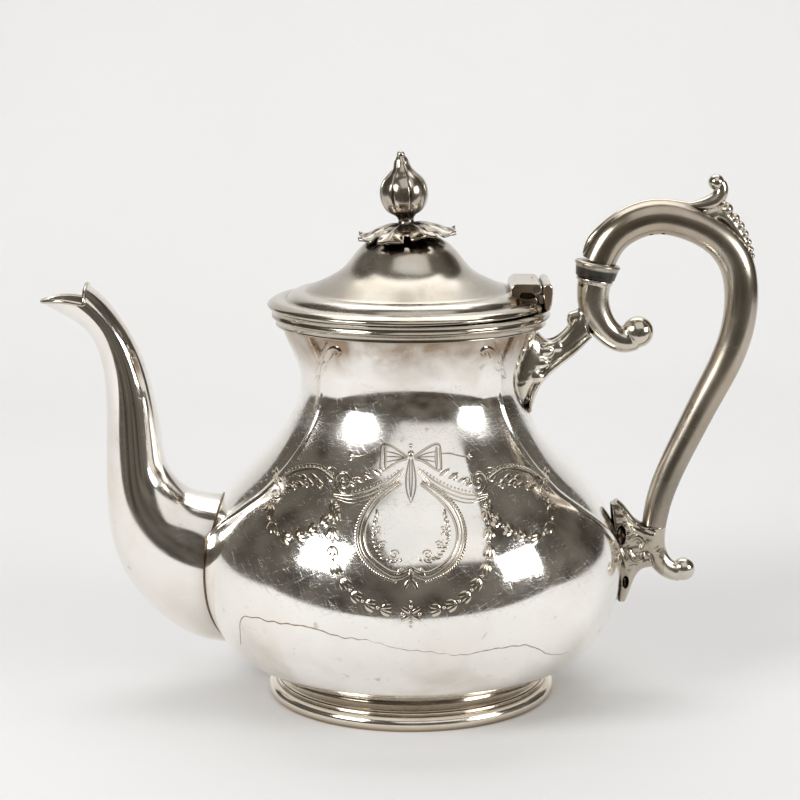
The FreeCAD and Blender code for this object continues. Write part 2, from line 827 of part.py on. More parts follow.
def make_thumb_scroll(handle_filled):
    """Curled spur on the crown of the handle, with a row of beads that shrinks down its back."""
    mouth = at(mouth_radius, rim_height)
    outline = [
        mouth + at(52.0, 39.0),
        mouth + at(56.8, 40.8),
        mouth + at(58.8, 44.2),
        mouth + at(59.4, 47.6),
        mouth + at(61.6, 49.4),
        mouth + at(64.4, 48.2),
        mouth + at(65.6, 44.6),
        mouth + at(65.2, 40.0),
        mouth + at(66.2, 35.6),
        mouth + at(62.8, 30.0),
        mouth + at(54.8, 33.4),
    ]
    spur = plate(outline, thumb_half_width)
    centers, spine_radii, beads = [mouth + at(62.8, 36.0)], [thumb_spine_radius], []
    for reach, height, radius in thumb_beads:
        center = mouth + at(reach, height)
        centers.append(center)
        spine_radii.append(min(thumb_spine_radius, radius * 0.8))
        beads.append(ball(radius, center))
    return spur.fuse([tube(centers, spine_radii), *beads]).cut(handle_filled)


def build():
    """All pieces of the teapot by name."""
    envelope = lobed_solid(body_stations())
    lid = lid_filled()
    sheet = lid_sheet()
    handle_filled = tube(*handle_path(0))
    scroll = upper_scroll_bar()

    foot_path = spline(handle_path(0)[0])
    foot_axis = foot_path.tangent(foot_path.parameter(handle_foot))[0]
    below_collar = socket_top - handle_axis * socket_pin_offset
    above_collar = handle_top + handle_axis * socket_pin_offset
    above_foot = handle_foot - foot_axis * socket_pin_offset
    socket_pin = cross_pin(below_collar, handle_axis, socket_pin_angle, socket_radius * 2)
    handle_pin = cross_pin(above_collar, handle_axis, 90, handle_top_radius * 2)
    foot_pin = cross_pin(above_foot, foot_axis, 90, handle_foot_radius * 2)

    shell = body_sheet(envelope)
    base_seam = flank_height + base_seam_rise
    spout = make_spout(envelope)
    front_half = Part.makeBox(2 * far, far, far, V(-far, -far, 0))
    collar = insulator_collar()

    return {
        "body_base": between(shell, 0, base_seam),
        "body_belly": between(shell, base_seam, shoulder_height),
        "body_neck": between(shell, shoulder_height, far),
        "bottom_plate": make_bottom_plate(),
        "foot_ring": make_foot_ring(envelope),
        "rim_band": make_rim_band(envelope),
        "spout_front": spout.common(front_half),
        "spout_back": spout.cut(front_half),
        "lid_shell": make_lid_shell(sheet),
        "lid_bezel": make_lid_bezel(),
        "finial_bud": make_finial_bud(),
        "finial_leaves": make_finial_leaves(lid),
        "finial_washer": make_finial_washer(sheet),
        "finial_nut": make_finial_nut(),
        "hinge_lid_leaf": make_hinge_lid_leaf(lid),
        "hinge_body_leaf": make_hinge_body_leaf(),
        "hinge_pin": make_hinge_pin(),
        "upper_socket": make_upper_socket(scroll, envelope, collar, socket_pin),
        "handle_insulator": make_insulator(collar, [socket_pin, handle_pin]),
        "handle_tube": make_handle_tube(collar, handle_pin, foot_pin),
        "thumb_scroll": make_thumb_scroll(handle_filled),
        "lower_socket": make_lower_socket(envelope, handle_filled, foot_pin),
        "socket_pin": socket_pin.common(scroll),
        "handle_pin": handle_pin.common(handle_filled),
        "handle_foot_pin": foot_pin.common(handle_filled),
    }


os.makedirs("parts", exist_ok=True)
for name, shape in build().items():
    if len(shape.Solids) == 1:
        shape = shape.Solids[0]
    shape.exportStep("parts/" + name + ".step")
    size = shape.BoundBox
    print(f"{name}: {len(shape.Solids)} solid, valid {shape.isValid()}, volume {shape.Volume:.1f}, "
          f"x {size.XMin:.1f} to {size.XMax:.1f}, z {size.ZMin:.1f} to {size.ZMax:.1f}")
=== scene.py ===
from math import acos, asin, atan2, copysign, cos, exp, pi, radians, sin, sqrt

import bmesh
import bpy
import numpy as np
from mathutils import Matrix, Vector


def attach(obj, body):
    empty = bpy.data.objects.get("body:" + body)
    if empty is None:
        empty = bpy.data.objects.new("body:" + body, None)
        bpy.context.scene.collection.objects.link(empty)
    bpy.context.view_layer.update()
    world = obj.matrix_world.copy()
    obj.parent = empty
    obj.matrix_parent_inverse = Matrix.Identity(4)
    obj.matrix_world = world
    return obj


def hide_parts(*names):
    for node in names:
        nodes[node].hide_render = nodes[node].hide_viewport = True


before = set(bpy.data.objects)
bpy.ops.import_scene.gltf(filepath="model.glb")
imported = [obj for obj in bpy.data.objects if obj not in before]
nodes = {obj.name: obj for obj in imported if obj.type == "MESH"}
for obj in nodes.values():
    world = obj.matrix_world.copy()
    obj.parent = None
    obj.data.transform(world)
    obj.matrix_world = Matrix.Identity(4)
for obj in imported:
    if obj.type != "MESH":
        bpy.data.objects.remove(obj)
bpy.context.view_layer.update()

MM = 0.001


# Curves and meshes, in millimetres until they become an object

def cubic(points):
    """Smooth curve through points, as a function of a share of its length."""
    p = np.array(points, float)
    if p.ndim == 1:
        p = p[:, None]
    n = len(p)
    d = np.r_[0, np.cumsum(np.linalg.norm(np.diff(p, axis=0), axis=1))]
    h = np.diff(d)
    a, b = np.eye(n), np.zeros_like(p)
    for i in range(1, n - 1):
        a[i, i - 1:i + 2] = h[i - 1], 2 * (h[i - 1] + h[i]), h[i]
        b[i] = 6 * ((p[i + 1] - p[i]) / h[i] - (p[i] - p[i - 1]) / h[i - 1])
    m = np.linalg.solve(a, b)

    def value(t):
        s = np.clip(np.asarray(t, float), 0, 1) * d[-1]
        i = np.clip(np.searchsorted(d, s) - 1, 0, n - 2)
        u, v = (d[i + 1] - s)[..., None], (s - d[i])[..., None]
        k = h[i][..., None]
        return (m[i] * u ** 3 + m[i + 1] * v ** 3) / (6 * k) + (p[i] / k - m[i] * k / 6) * u + \
            (p[i + 1] / k - m[i + 1] * k / 6) * v
    return value


def trace(points, count, endpoint=True):
    """Points at even steps along the smooth curve through points."""
    return cubic(points)(np.linspace(0, 1, count, endpoint=endpoint))


def graph(xs, ys):
    """Smooth value by height, flat beyond the ends, without overshoot."""
    xs, ys = np.array(xs, float), np.array(ys, float)
    slope = np.diff(ys) / np.diff(xs)
    m = np.zeros_like(xs)
    for i in range(1, len(xs) - 1):
        if slope[i - 1] * slope[i] > 0:
            m[i] = 2 * slope[i - 1] * slope[i] / (slope[i - 1] + slope[i])

    def value(x):
        x = np.clip(x, xs[0], xs[-1])
        i = np.clip(np.searchsorted(xs, x) - 1, 0, len(xs) - 2)
        h = xs[i + 1] - xs[i]
        t = (x - xs[i]) / h
        return (ys[i] * (1 + 2 * t) * (1 - t) ** 2 + m[i] * h * t * (1 - t) ** 2
                + ys[i + 1] * t * t * (3 - 2 * t) + m[i + 1] * h * t * t * (t - 1))
    return value


def new_object(name, verts, faces):
    mesh = bpy.data.meshes.new(name)
    mesh.from_pydata([tuple(v) for v in np.asarray(verts, float) * MM], [], [tuple(f) for f in faces])
    bm = bmesh.new()
    bm.from_mesh(mesh)
    bmesh.ops.remove_doubles(bm, verts=bm.verts, dist=1e-7)
    bmesh.ops.recalc_face_normals(bm, faces=bm.faces)
    bm.to_mesh(mesh)
    bm.free()
    mesh.polygons.foreach_set("use_smooth", [True] * len(mesh.polygons))
    obj = bpy.data.objects.new(name, mesh)
    bpy.context.collection.objects.link(obj)
    return obj


def grid(rows, around=True, ends=False, loop=False):
    """Vertices and quads of a net of rows; around joins the columns and loop joins last row to first."""
    rows = np.asarray(rows, float)
    m, n = rows.shape[:2]
    faces = []
    for i in range(m if loop else m - 1):
        for j in range(n if around else n - 1):
            a, b = i * n + j, i * n + (j + 1) % n
            c, d = ((i + 1) % m) * n + (j + 1) % n, ((i + 1) % m) * n + j
            faces.append((a, b, c, d))
    if ends:
        faces.append(tuple(reversed(range(n))))
        faces.append(tuple((m - 1) * n + j for j in range(n)))
    return rows.reshape(-1, 3), faces


def merge(parts):
    verts, faces, base = [], [], 0
    for v, f in parts:
        verts.append(np.asarray(v, float))
        faces += [tuple(k + base for k in q) for q in f]
        base += len(v)
    return np.concatenate(verts), faces


def unit(v):
    return v / np.linalg.norm(v, axis=-1)[..., None]


def turns(count):
    return np.arange(count) * 2 * pi / count


def lathe(profile, count, ripple=None, **closing):
    """Net of a profile of (radius, height) turned about Z."""
    angle = turns(count)
    rows = []
    for r, z in profile:
        radius = r if ripple is None else r * ripple(angle, z)
        rows.append(np.stack([radius * np.cos(angle), radius * np.sin(angle), np.full(count, z)], 1))
    return grid(rows, **closing)


def bow(a, b, bulge, count=10):
    """Arc from a to b that stands off its chord by bulge."""
    a, b = np.array(a, float), np.array(b, float)
    half = np.linalg.norm(b - a) / 2
    side = np.array([-(b - a)[1], (b - a)[0]]) / (2 * half)
    radius = (half ** 2 + bulge ** 2) / (2 * abs(bulge))
    reach = asin(min(1, half / radius))
    t = np.linspace(-reach, reach, count)
    along = (b - a) / (2 * half)
    mid = (a + b) / 2 + side * bulge * (1 - radius / abs(bulge))
    out = side * copysign(radius, bulge)
    return [tuple(mid + along * radius * sin(k) + out * cos(k)) for k in t]


def bar(middle, half, width, sides, power=1):
    """Bar along the middle plane: middles and half heights as (x, z), half widths along Y."""
    c, k = np.cos(turns(sides)), np.sin(turns(sides))
    c, k = np.sign(c) * np.abs(c) ** power, np.sign(k) * np.abs(k) ** power
    rows = [middle[:, :1] + half[:, :1] * c, width[:, None] * k, middle[:, 1:] + half[:, 1:] * c]
    return grid(np.stack(rows, -1), ends=True)


def sweep(stations, sides, rings, width=1):
    """Round bar through (x, z, radius) stations; width stretches it along Y."""
    s = trace(stations, rings)
    tangent = unit(np.gradient(s[:, :2], axis=0))
    normal = np.stack([-tangent[:, 1], tangent[:, 0]], 1)
    return bar(s[:, :2], normal * s[:, 2:], s[:, 2] * width, sides)


def arm(stations, sides=40, rings=60):
    """Squarer bar through (x, z, x, z, width) stations: a low edge, a high edge and a half width."""
    s = trace(stations, rings)
    low, high = s[:, 0:2], s[:, 2:4]
    return bar((low + high) / 2, (high - low) / 2, s[:, 4], sides, 0.8)


def slab(outline, half_width, crown=0.0, layers=7):
    """Flat casting of a closed outline in the middle plane, with its sides rounded in by crown."""
    o = np.array(outline, float)
    centre = o.mean(0)
    rows = []
    for k in np.linspace(-1, 1, layers):
        inset = crown * (1 - sqrt(max(0, 1 - k ** 4)))
        shrunk = o - unit(o - centre) * inset
        rows.append(np.stack([shrunk[:, 0], np.full(len(o), k * half_width), shrunk[:, 1]], 1))
    return grid(rows, ends=True)


def sphere(centre, radius, count=24, squash=(1, 1, 1)):
    profile = [(radius * sin(k), radius * cos(k)) for k in np.linspace(0, pi, count)]
    verts, faces = lathe(profile, count)
    return verts * np.array(squash) + np.array(centre), faces


def apply_modifiers(obj):
    deps = bpy.context.evaluated_depsgraph_get()
    mesh = bpy.data.meshes.new_from_object(obj.evaluated_get(deps))
    obj.modifiers.clear()
    old = obj.data
    obj.data = mesh
    bpy.data.meshes.remove(old)


def modify(obj, kind, **settings):
    modifier = obj.modifiers.new(kind, kind)
    for key, value in settings.items():
        setattr(modifier, key, value)


def cast(name, parts, voxel, relax):
    """One smooth casting from overlapping solids."""
    obj = new_object(name, *merge(parts))
    modify(obj, "REMESH", mode="VOXEL", voxel_size=voxel * MM, use_smooth_shade=True)
    modify(obj, "SMOOTH", factor=0.5, iterations=relax)
    apply_modifiers(obj)
    return obj


def cut(obj, *cutters):
    """Take cutters away from obj."""
    for cutter in cutters:
        modify(obj, "BOOLEAN", object=cutter, operation="DIFFERENCE", solver="EXACT")
    apply_modifiers(obj)
    for cutter in cutters:
        bpy.data.objects.remove(cutter)


def rod(a, b, radius, count=20):
    a, b = np.array(a, float), np.array(b, float)
    along = unit(b - a)
    side = unit(np.cross(along, [0.31, 0.52, 0.79]))
    other = np.cross(along, side)
    angle = turns(count)
    rim = radius * (np.cos(angle)[:, None] * side + np.sin(angle)[:, None] * other)
    return grid([a + rim, b + rim], ends=True)


# Sizes that the model was built to

seat, belly_r, belly_z = (46.5, 9), 80, 45.0
rim_z, wall = 148.4, 1.2
lid_z, lid_x = rim_z + 0.3, -1.5
crown_z = lid_z + 28.0
hinge_x, hinge_z = 46.3, lid_z + 8.0
turned_sides = 224
side_profile = cubic([seat, (67.5, 19), (belly_r, belly_z), (69, 79), (50.3, 99.5), (41.3, 121),
                      (45.6, 134.7), (51.2, rim_z)])
side_samples = side_profile(np.linspace(0, 1, 4000))

pleat_angle = graph([45, 60, 70, 79, 87, 97, 106, 122, 134, 141, 148],
                    [88, 79, 71, 62, 56, 54, 53.5, 51, 44, 38, 36])
pleat_step = graph([42, 58, 70, 85, 100, 121, 134, 144], [0, 0.7, 1.5, 2, 1.7, 1.3, 0.8, 0])
pleat_bead = graph([38, 45, 56, 70, 85, 100, 121, 138, 143], [0, 0.12, 0.5, 0.9, 1, 0.9, 0.9, 0.8, 0])
pleat_width = graph([45, 70, 85, 100, 121, 143], [1.8, 1.5, 1.35, 1.2, 1, 0.85])


def body_radius(z):
    return np.interp(z, side_samples[:, 1], side_samples[:, 0])


def body_swell(angle, radius, z):
    """How far lobes and pleats stand off the round body; angle in degrees from the front or back."""
    off = np.radians(angle - pleat_angle(z)) * radius
    width = pleat_width(z)
    lobe = pleat_step(z) * 0.5 * (1 - np.tanh(off / width))
    bead = pleat_bead(z) * np.exp(-((off + width * 0.6) / width) ** 2)
    return lobe + bead


def front(x, z, lift=0.0):
    """Point on the front lobe straight behind (x, z), lifted off the sheet."""
    x, z = np.asarray(x, float), np.asarray(z, float)
    r = body_radius(z)
    for _ in range(4):
        angle = np.degrees(np.arcsin(np.clip(np.abs(x) / r, 0, 0.999)))
        r = body_radius(z) + body_swell(angle, r, z)
    y = -np.sqrt(np.maximum(r * r - x * x, 0))
    slope = body_radius(z + 0.5) - body_radius(z - 0.5)
    return np.stack([x, y, z], -1) + unit(np.stack([x / r, y / r, -slope], -1)) * lift


# Materials

def feed(tree, node, inputs):
    """Set inputs of a node; each gets a plain value or the output of another node."""
    for socket, value in inputs.items():
        if isinstance(value, bpy.types.NodeSocket):
            tree.links.new(value, node.inputs[socket])
        else:
            node.inputs[socket].default_value = value


def add(tree, kind, inputs=None, **settings):
    node = tree.nodes.new("ShaderNode" + kind)
    for key, value in settings.items():
        setattr(node, key, value)
    feed(tree, node, inputs or {})
    return node


def material(name):
    mat = bpy.data.materials.new(name)
    mat.use_nodes = True
    tree = mat.node_tree
    tree.nodes.clear()
    shader = add(tree, "BsdfPrincipled")
    add(tree, "OutputMaterial", {"Surface": shader.outputs[0]})
    return mat, tree, shader


def noise(tree, scale, detail, stretch=None, distort=0.0, turn=(0, 0, 0)):
    """Cloud over the piece; stretch packs it closer along each axis after a turn."""
    source = add(tree, "TexCoord").outputs["Object"]
    if stretch:
        packing = {"Vector": source, "Scale": [1 / k for k in stretch], "Rotation": turn}
        source = add(tree, "Mapping", packing, vector_type="TEXTURE").outputs[0]
    cloud = {"Vector": source, "Scale": scale, "Detail": detail, "Distortion": distort}
    return add(tree, "TexNoise", cloud).outputs["Fac"]


def ramp(tree, value, low, high, low_color, high_color):
    node = add(tree, "ValToRGB", {"Fac": value})
    for stop, position, color in zip(node.color_ramp.elements, (low, high), (low_color, high_color)):
        stop.position = position
        stop.color = (*color, 1)
    return node.outputs[0]


def mix(tree, share, *ends):
    """Colour between two ends, each a plain colour or an output."""
    a, b = [(*end, 1) if isinstance(end, tuple) else end for end in ends]
    return add(tree, "Mix", {0: share, 6: a, 7: b}, data_type="RGBA").outputs[2]


def shade(tree, value, low, high, to_low, to_high):
    """A plain number remapped, held inside its ends."""
    ends = {"From Min": low, "From Max": high, "To Min": to_low, "To Max": to_high}
    return add(tree, "MapRange", {"Value": value, **ends}).outputs[0]


def combine(tree, operation, a, b):
    return add(tree, "Math", {0: a, 1: b}, operation=operation).outputs[0]


# Scratches: lean from level, closeness across them, and the least noise that makes one
scratch_sets = ((0, 16, 0.56), (0.75, 7, 0.58), (-0.45, 7, 0.58), (1.25, 7, 0.59))
# Dull band round the shoulder: it comes in over the first two heights and goes over the last two
dull_band, dull_rough = (0.1005, 0.107, 0.109, 0.1165), 0.16


def silver(name, clean, stain, tarnish_and_shade, rough, crevice, scratch=0.12, lines=0.0, body=False, zones=(),
           relief=(24, 0.25, 0.0003), metallic=1.0):
    """Worn plate: polished metal with stains, scratches, pin spots and darker hollows of tarnish and painted
    shade.

    A zone is a band of colour by height (stains near the mouth, darker tones low down, painted reflection on
    the lid):
    where it starts and is full, its colour, and the scale, low and high noise, least and most share of its
    cloud.
    Relief is the scale, strength and depth of soft dents.
    """
    mat, tree, shader = material(name)
    worn = tuple(c * k for c, k in zip(clean, (0.78, 0.68, 0.55)))
    patches = shade(tree, noise(tree, 30, 7, distort=0.8), 0.46, 0.78, 0, stain)
    base = mix(tree, patches, clean, worn)
    spots = shade(tree, noise(tree, 210, 3), 0.68, 0.78, 0, 0.5)
    base = mix(tree, spots, base, (0.40, 0.32, 0.24))
    specks = shade(tree, noise(tree, 900, 2), 0.70, 0.76, 0, 0.4)
    base = mix(tree, specks, base, (0.34, 0.28, 0.22))
    haze = shade(tree, noise(tree, 48, 5), 0.3, 0.75, rough * 0.6, rough * 1.5)
    if zones or body:
        spot = add(tree, "TexCoord").outputs["Object"]
        height = add(tree, "SeparateXYZ", {0: spot}).outputs["Z"]
    for start, full, color, scale, low, high, least, most in zones:
        near = shade(tree, height, start, full, 0, 1)
        cloud = shade(tree, noise(tree, scale, 8, distort=0.4), low, high, least, most)
        base = mix(tree, combine(tree, "MULTIPLY", near, cloud), base, color)
    if body:
        comes = shade(tree, height, *dull_band[:2], 0, 1)
        goes = shade(tree, height, *dull_band[2:], dull_rough, 0)
        haze = combine(tree, "ADD", haze, combine(tree, "MULTIPLY", comes, goes))
        around = add(tree, "Tangent", direction_type="RADIAL", axis="Z").outputs[0]
        feed(tree, shader, {"Tangent": around, "Anisotropic": 0.45, "Anisotropic Rotation": 0.25})
    # Hollows found by ambient occlusion darken towards the hollow colour: tarnish and painted shade in
    # creases and recesses
    if crevice:
        open_share = add(tree, "AmbientOcclusion", {"Distance": crevice}, samples=6).outputs["AO"]
        base = mix(tree, shade(tree, open_share, 0.30, 0.92, 1, 0), base, tarnish_and_shade)
    if lines:
        for lean, across, least in scratch_sets:
            strokes = noise(tree, 330, 4, stretch=(0.5, 0.5, across), turn=(0, lean, 0))
            haze = combine(tree, "ADD", haze, shade(tree, strokes, least, least + 0.18, 0, lines))
    scale, strength, depth = relief
    dents = {"Strength": strength, "Distance": depth, "Height": noise(tree, scale, 2)}
    grain = {"Strength": scratch, "Distance": 0.00004, "Height": noise(tree, 420, 3),
             "Normal": add(tree, "Bump", dents).outputs[0]}
    feed(tree, shader, {"Metallic": metallic, "Base Color": base, "Roughness": haze,
                        "Normal": add(tree, "Bump", grain).outputs[0]})
    return mat


mouth_stain = ((0.116, 0.126, (0.60, 0.52, 0.43), 30, 0.50, 0.68, 0, 0.6),
               (0.1265, 0.1375, (0.36, 0.27, 0.195), 60, 0.36, 0.60, 0.22, 1))
# Darker, blotchy brown towards the bottom of the body
darker_low_body = ((0.052, 0.024, (0.52, 0.43, 0.33), 36, 0.50, 0.72, 0, 0.42),)
# Painted reflection on the lid: a dark brown band over the flare, and below it a lighter band on the step
lid_painted_reflection = ((0.1655, 0.1575, (0.28, 0.24, 0.185), 26, 0.30, 0.70, 0.45, 0.85),
             (0.1556, 0.1546, (0.70, 0.655, 0.58), 30, 0.30, 0.70, 1, 0.8))
low_handle = ((0.118, 0.080, (0.24, 0.21, 0.17), 46, 0.30, 0.70, 0.45, 0.85),)
body_mat = silver("body_plate", (0.985, 0.96, 0.92), 0.20, (0.13, 0.08, 0.035), 0.09, 0.006, lines=0.17,
                  body=True, zones=mouth_stain + darker_low_body)
plate_mat = silver("plate", (0.92, 0.89, 0.845), 0.45, (0.09, 0.05, 0.02), 0.10, 0.008, lines=0.08)
lid_mat = silver("lid_plate", (0.68, 0.64, 0.575), 0.6, (0.13, 0.08, 0.04), 0.21, 0.005, lines=0.05,
                 zones=lid_painted_reflection)
band_mat = silver("band_plate", (0.58, 0.53, 0.45), 0.7, (0.06, 0.035, 0.015), 0.15, 0.007)
foot_mat = silver("foot_plate", (0.90, 0.84, 0.745), 0.6, (0.34, 0.245, 0.145), 0.14, 0.004)
leaf_mat = silver("leaf_metal", (0.84, 0.79, 0.70), 0.9, (0.05, 0.032, 0.015), 0.17, 0.005, 0.25,
                  relief=(190, 0.5, 0.0007))
cast_mat = silver("casting", (0.66, 0.605, 0.52), 0.9, (0.06, 0.038, 0.018), 0.21, 0.007, 0.25)
bracket_mat = silver("bracket_metal", (0.52, 0.465, 0.385), 0.95, (0.035, 0.022, 0.01), 0.18, 0.006, 0.25,
                     relief=(330, 0.6, 0.0005))
finial_mat = silver("finial_metal", (0.56, 0.515, 0.45), 0.8, (0.04, 0.026, 0.016), 0.22, 0.008, 0.2)
tube_mat = silver("handle_plate", (0.51, 0.455, 0.38), 0.85, (0.12, 0.085, 0.05), 0.24, 0.006, 0.2,
                  zones=low_handle)
hinge_mat = silver("hinge_metal", (0.66, 0.60, 0.505), 0.8, (0.05, 0.03, 0.016), 0.20, 0.004, 0.3)
seam_mat = silver("solder_line", (0.22, 0.155, 0.095), 0.6, (0.03, 0.02, 0.01), 0.28, 0.003)
# The engraved lines darken to near black in their 2 mm hollows: a painted shadow line beside each raised
# line
cut_mat = silver("engraved_line", (0.70, 0.635, 0.54), 0.7, (0.03, 0.02, 0.01), 0.17, 0.002, 0.2)
end_mat = silver("hinge_end", (0.52, 0.40, 0.295), 0.9, (0.03, 0.018, 0.008), 0.42, 0.004, 0.3)
wear_mat = silver("worn_edge", (0.40, 0.29, 0.19), 0.9, (0.10, 0.07, 0.04), 0.45, 0, 0.2)
# Inside of the spout pipe: dark brown, a stain together with painted shade inside the pipe
inner_mat = silver("stained_and_shaded_inside", (0.17, 0.145, 0.11), 0.8, (0.05, 0.035, 0.02), 0.50, 0.01, 0.3,
                   metallic=0.4)
brass_mat = silver("brass", (0.68, 0.52, 0.26), 0.5, (0.20, 0.13, 0.05), 0.3, 0.003, 0.3)
pin_mat = silver("pin", (0.5, 0.47, 0.43), 0.6, (0.10, 0.08, 0.06), 0.3, 0.002, 0.3)

# The heat break slants with the handle's end; the handle's start and the collar's axis are shared below
handle_start = np.array([69.9, 0, 165])
tilt = radians(10.5)
axis = np.array([sin(tilt), 0, cos(tilt)])


def heat_break():
    """Dark collar with a metal edge round its upper end."""
    mat, tree, shader = material("heat_break")
    grain = noise(tree, 260, 5, stretch=(1, 1, 4))
    dark = ramp(tree, grain, 0.3, 0.8, (0.012, 0.010, 0.008), (0.045, 0.039, 0.032))
    metal = ramp(tree, grain, 0.3, 0.8, (0.40, 0.36, 0.30), (0.62, 0.57, 0.49))
    spot = add(tree, "TexCoord").outputs["Object"]
    along = add(tree, "VectorMath", {0: spot, 1: tuple(axis)}, operation="DOT_PRODUCT").outputs["Value"]
    on_edge = shade(tree, along, 0.1722, 0.1728, 0, 1)
    feed(tree, shader, {"Base Color": mix(tree, on_edge, dark, metal), "Metallic": on_edge,
                        "Roughness": shade(tree, grain, 0.2, 0.9, 0.22, 0.42)})
    return mat


def place(obj, body, slot, mat, *replaced):
    obj.data.materials.clear()
    obj.data.materials.append(mat)
    count = len(obj.data.polygons)
    obj.data.polygons.foreach_set("material_index", [0] * count)
    obj.data.polygons.foreach_set("use_smooth", [True] * count)
    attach(obj, body)
    if replaced:
        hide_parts(*replaced)
    return obj


def coat(obj, mat, chosen):
    """Give mat to the faces that chosen picks."""
    obj.data.materials.append(mat)
    index = len(obj.data.materials) - 1
    for face in obj.data.polygons:
        if chosen(face):
            face.material_index = index


# Body with its lobes and pleats, open at the mouth and pierced behind the spout

def body_rows(points, inset):
    lobe = np.linspace(0, 1, 44, endpoint=False)
    flank = np.linspace(0, 1, 25)
    rows = []
    for r, z in points:
        edge = float(pleat_angle(z))
        a = np.r_[edge * (1 - (1 - lobe) ** 2 * 0.6 - (1 - lobe) * 0.4),
                  edge + (90 - edge) * (0.35 * flank + 0.65 * flank ** 2)]
        radius = r + body_swell(a, r, z) - inset
        full = np.radians(np.r_[a, (180 - a)[::-1][1:], (180 + a)[1:], (360 - a)[::-1][1:-1]])
        around = np.r_[radius, radius[::-1][1:], radius[1:], radius[::-1][1:-1]]
        rows.append(np.stack([around * np.sin(full), -around * np.cos(full), np.full(len(full), z)], 1))
    return rows


def make_body():
    outside = side_profile(np.linspace(1, 0, 180))
    inside = outside[::-3].copy()
    inside = inside[inside[:, 1] > seat[1] + 2.4]
    rows = body_rows(outside, 0)
    last = np.array(rows[-1])
    level = np.hypot(last[:, 0], last[:, 1])[:, None]
    flat = np.array([1, 1, 0])
    for radius, z in ((40, seat[1]), (40, seat[1] + wall), (44, seat[1] + wall)):
        rows.append(last * flat / level * radius + np.array([0, 0, z]))
    rows += body_rows(inside, wall)
    body = new_object("body", *grid(rows, loop=True))
    holes, pitch = [], 7.0
    for row in range(-2, 3):
        count = 5 - abs(row)
        z = belly_z + row * pitch * sqrt(3) / 2
        for column in range(count):
            y = (column - (count - 1) / 2) * pitch
            holes.append(rod((-90, y, z), (-60, y, z), 2, 24))
    cut(body, new_object("strainer_drill", *merge(holes)))
    return body


place(make_body(), "pot", "silver_sheet", body_mat, "body_base", "body_belly", "body_neck")


# Foot ring, mouth band and lid

foot_profile = (
    [(51, 0), (54, 0)] + bow((54, 0), (52, 5.4), -1.9, 16)[1:]
    + bow((51.7, 5.2), (50.9, 6.1), -0.35, 6) + [(50.5, 6)] + bow((50.3, 6.3), (47.8, 9.6), 0.5, 10)
    + [(47.6, 10.6), (46.4, 9), (46.3, 5.4)])
foot = new_object("foot", *lathe(foot_profile, turned_sides, loop=True))
place(foot, "pot", "silver_sheet", foot_mat, "foot_ring")

band_profile = (
    [(50.6, rim_z), (52.1, rim_z)] + bow((52.1, rim_z), (52.1, rim_z - 2.7), -0.6, 10)[1:]
    + [(51.9, rim_z - 2.9)] + bow((52, rim_z - 3.1), (50.6, rim_z - 6), -0.7, 10)
    + [(49, rim_z - 6.2), (48.6, rim_z - 5)])
band = new_object("mouth_band", *lathe(band_profile, turned_sides, loop=True))
place(band, "pot", "silver_sheet", band_mat, "rim_band")


def lid_profile():
    dome_line = cubic([(0, 28), (9, 26.4), (17.3, 21.8), (23.6, 14.3), (30.5, 9.8), (38.3, 6.3)])
    dome = [tuple(p) for p in dome_line(np.linspace(0.004, 1, 70))]
    dome[0] = (0.02, 28)
    points = dome + bow((38.8, 6), (45, 3.1), 1, 16) + [(45.3, 2.75)]
    points += bow((45.5, 2.9), (51.9, 1.4), 0.95, 14)
    points += [(52.2, 0.9), (51.9, 0.25), (51.7, 0), (45, 0), (45, 1.8)]
    return points + [(r, z - wall) for r, z in reversed(dome)]


def make_lid():
    """Turned lid with its edge cut straight where the hinge stands."""
    verts, faces = lathe(lid_profile(), turned_sides)
    lid = new_object("lid", verts + np.array([lid_x, 0, lid_z]), faces)
    bm = bmesh.new()
    bm.from_mesh(lid.data)
    everything = bm.verts[:] + bm.edges[:] + bm.faces[:]
    cutting = bmesh.ops.bisect_plane(bm, geom=everything, plane_co=((hinge_x - 0.3) * MM, 0, 0),
                                     plane_no=(1, 0, 0), clear_outer=True)
    rim = [e for e in cutting["geom_cut"] if isinstance(e, bmesh.types.BMEdge)]
    bmesh.ops.holes_fill(bm, edges=rim, sides=0)
    bm.to_mesh(lid.data)
    bm.free()
    return lid


lid = place(make_lid(), "lid", "silver_sheet", lid_mat, "lid_shell")
coat(lid, band_mat, lambda face: face.center.z < (lid_z + 2.9) * MM)


# Finial: ribbed pod on a stem, over a rosette of leaves

lean = Matrix.Rotation(radians(-4.5), 4, "Y")
on_crown = Matrix.Translation((lid_x * MM, 0, crown_z * MM)) @ lean


def make_bud():
    """Round pod of eight gores that draws in to a pointed neck with a small ball."""
    side = trace([(3.6, 2.4), (2.9, 3.8), (3.3, 5.2), (5.8, 7), (8, 10), (8.8, 13.6), (8.4, 17),
                  (6.7, 20), (4.3, 22.4), (3, 24.6), (2.4, 26.6), (1.5, 28)], 110)
    tip = [(1.5 * sin(k) + 0.01, 28.3 - 1.5 * cos(k)) for k in np.linspace(0.9, pi - 0.01, 14)]
    profile = [tuple(p) for p in side] + tip
    swell = graph([4.5, 8, 13, 20, 24.5, 27.4, 28], [0, 0.7, 1, 1, 1.3, 1.1, 0])

    def ripple(angle, z):
        gore = np.abs(np.cos(angle * 4 + 0.35))
        seam = np.exp(-(gore / 0.15) ** 2)
        return 1 - swell(z) * (0.075 * seam - 0.022 * gore ** 0.5)
    return lathe(profile, 288, ripple, ends=True)


bud = new_object("bud", *make_bud())
bud.data.transform(on_crown)
place(bud, "lid", "silver_cast", finial_mat, "finial_bud")


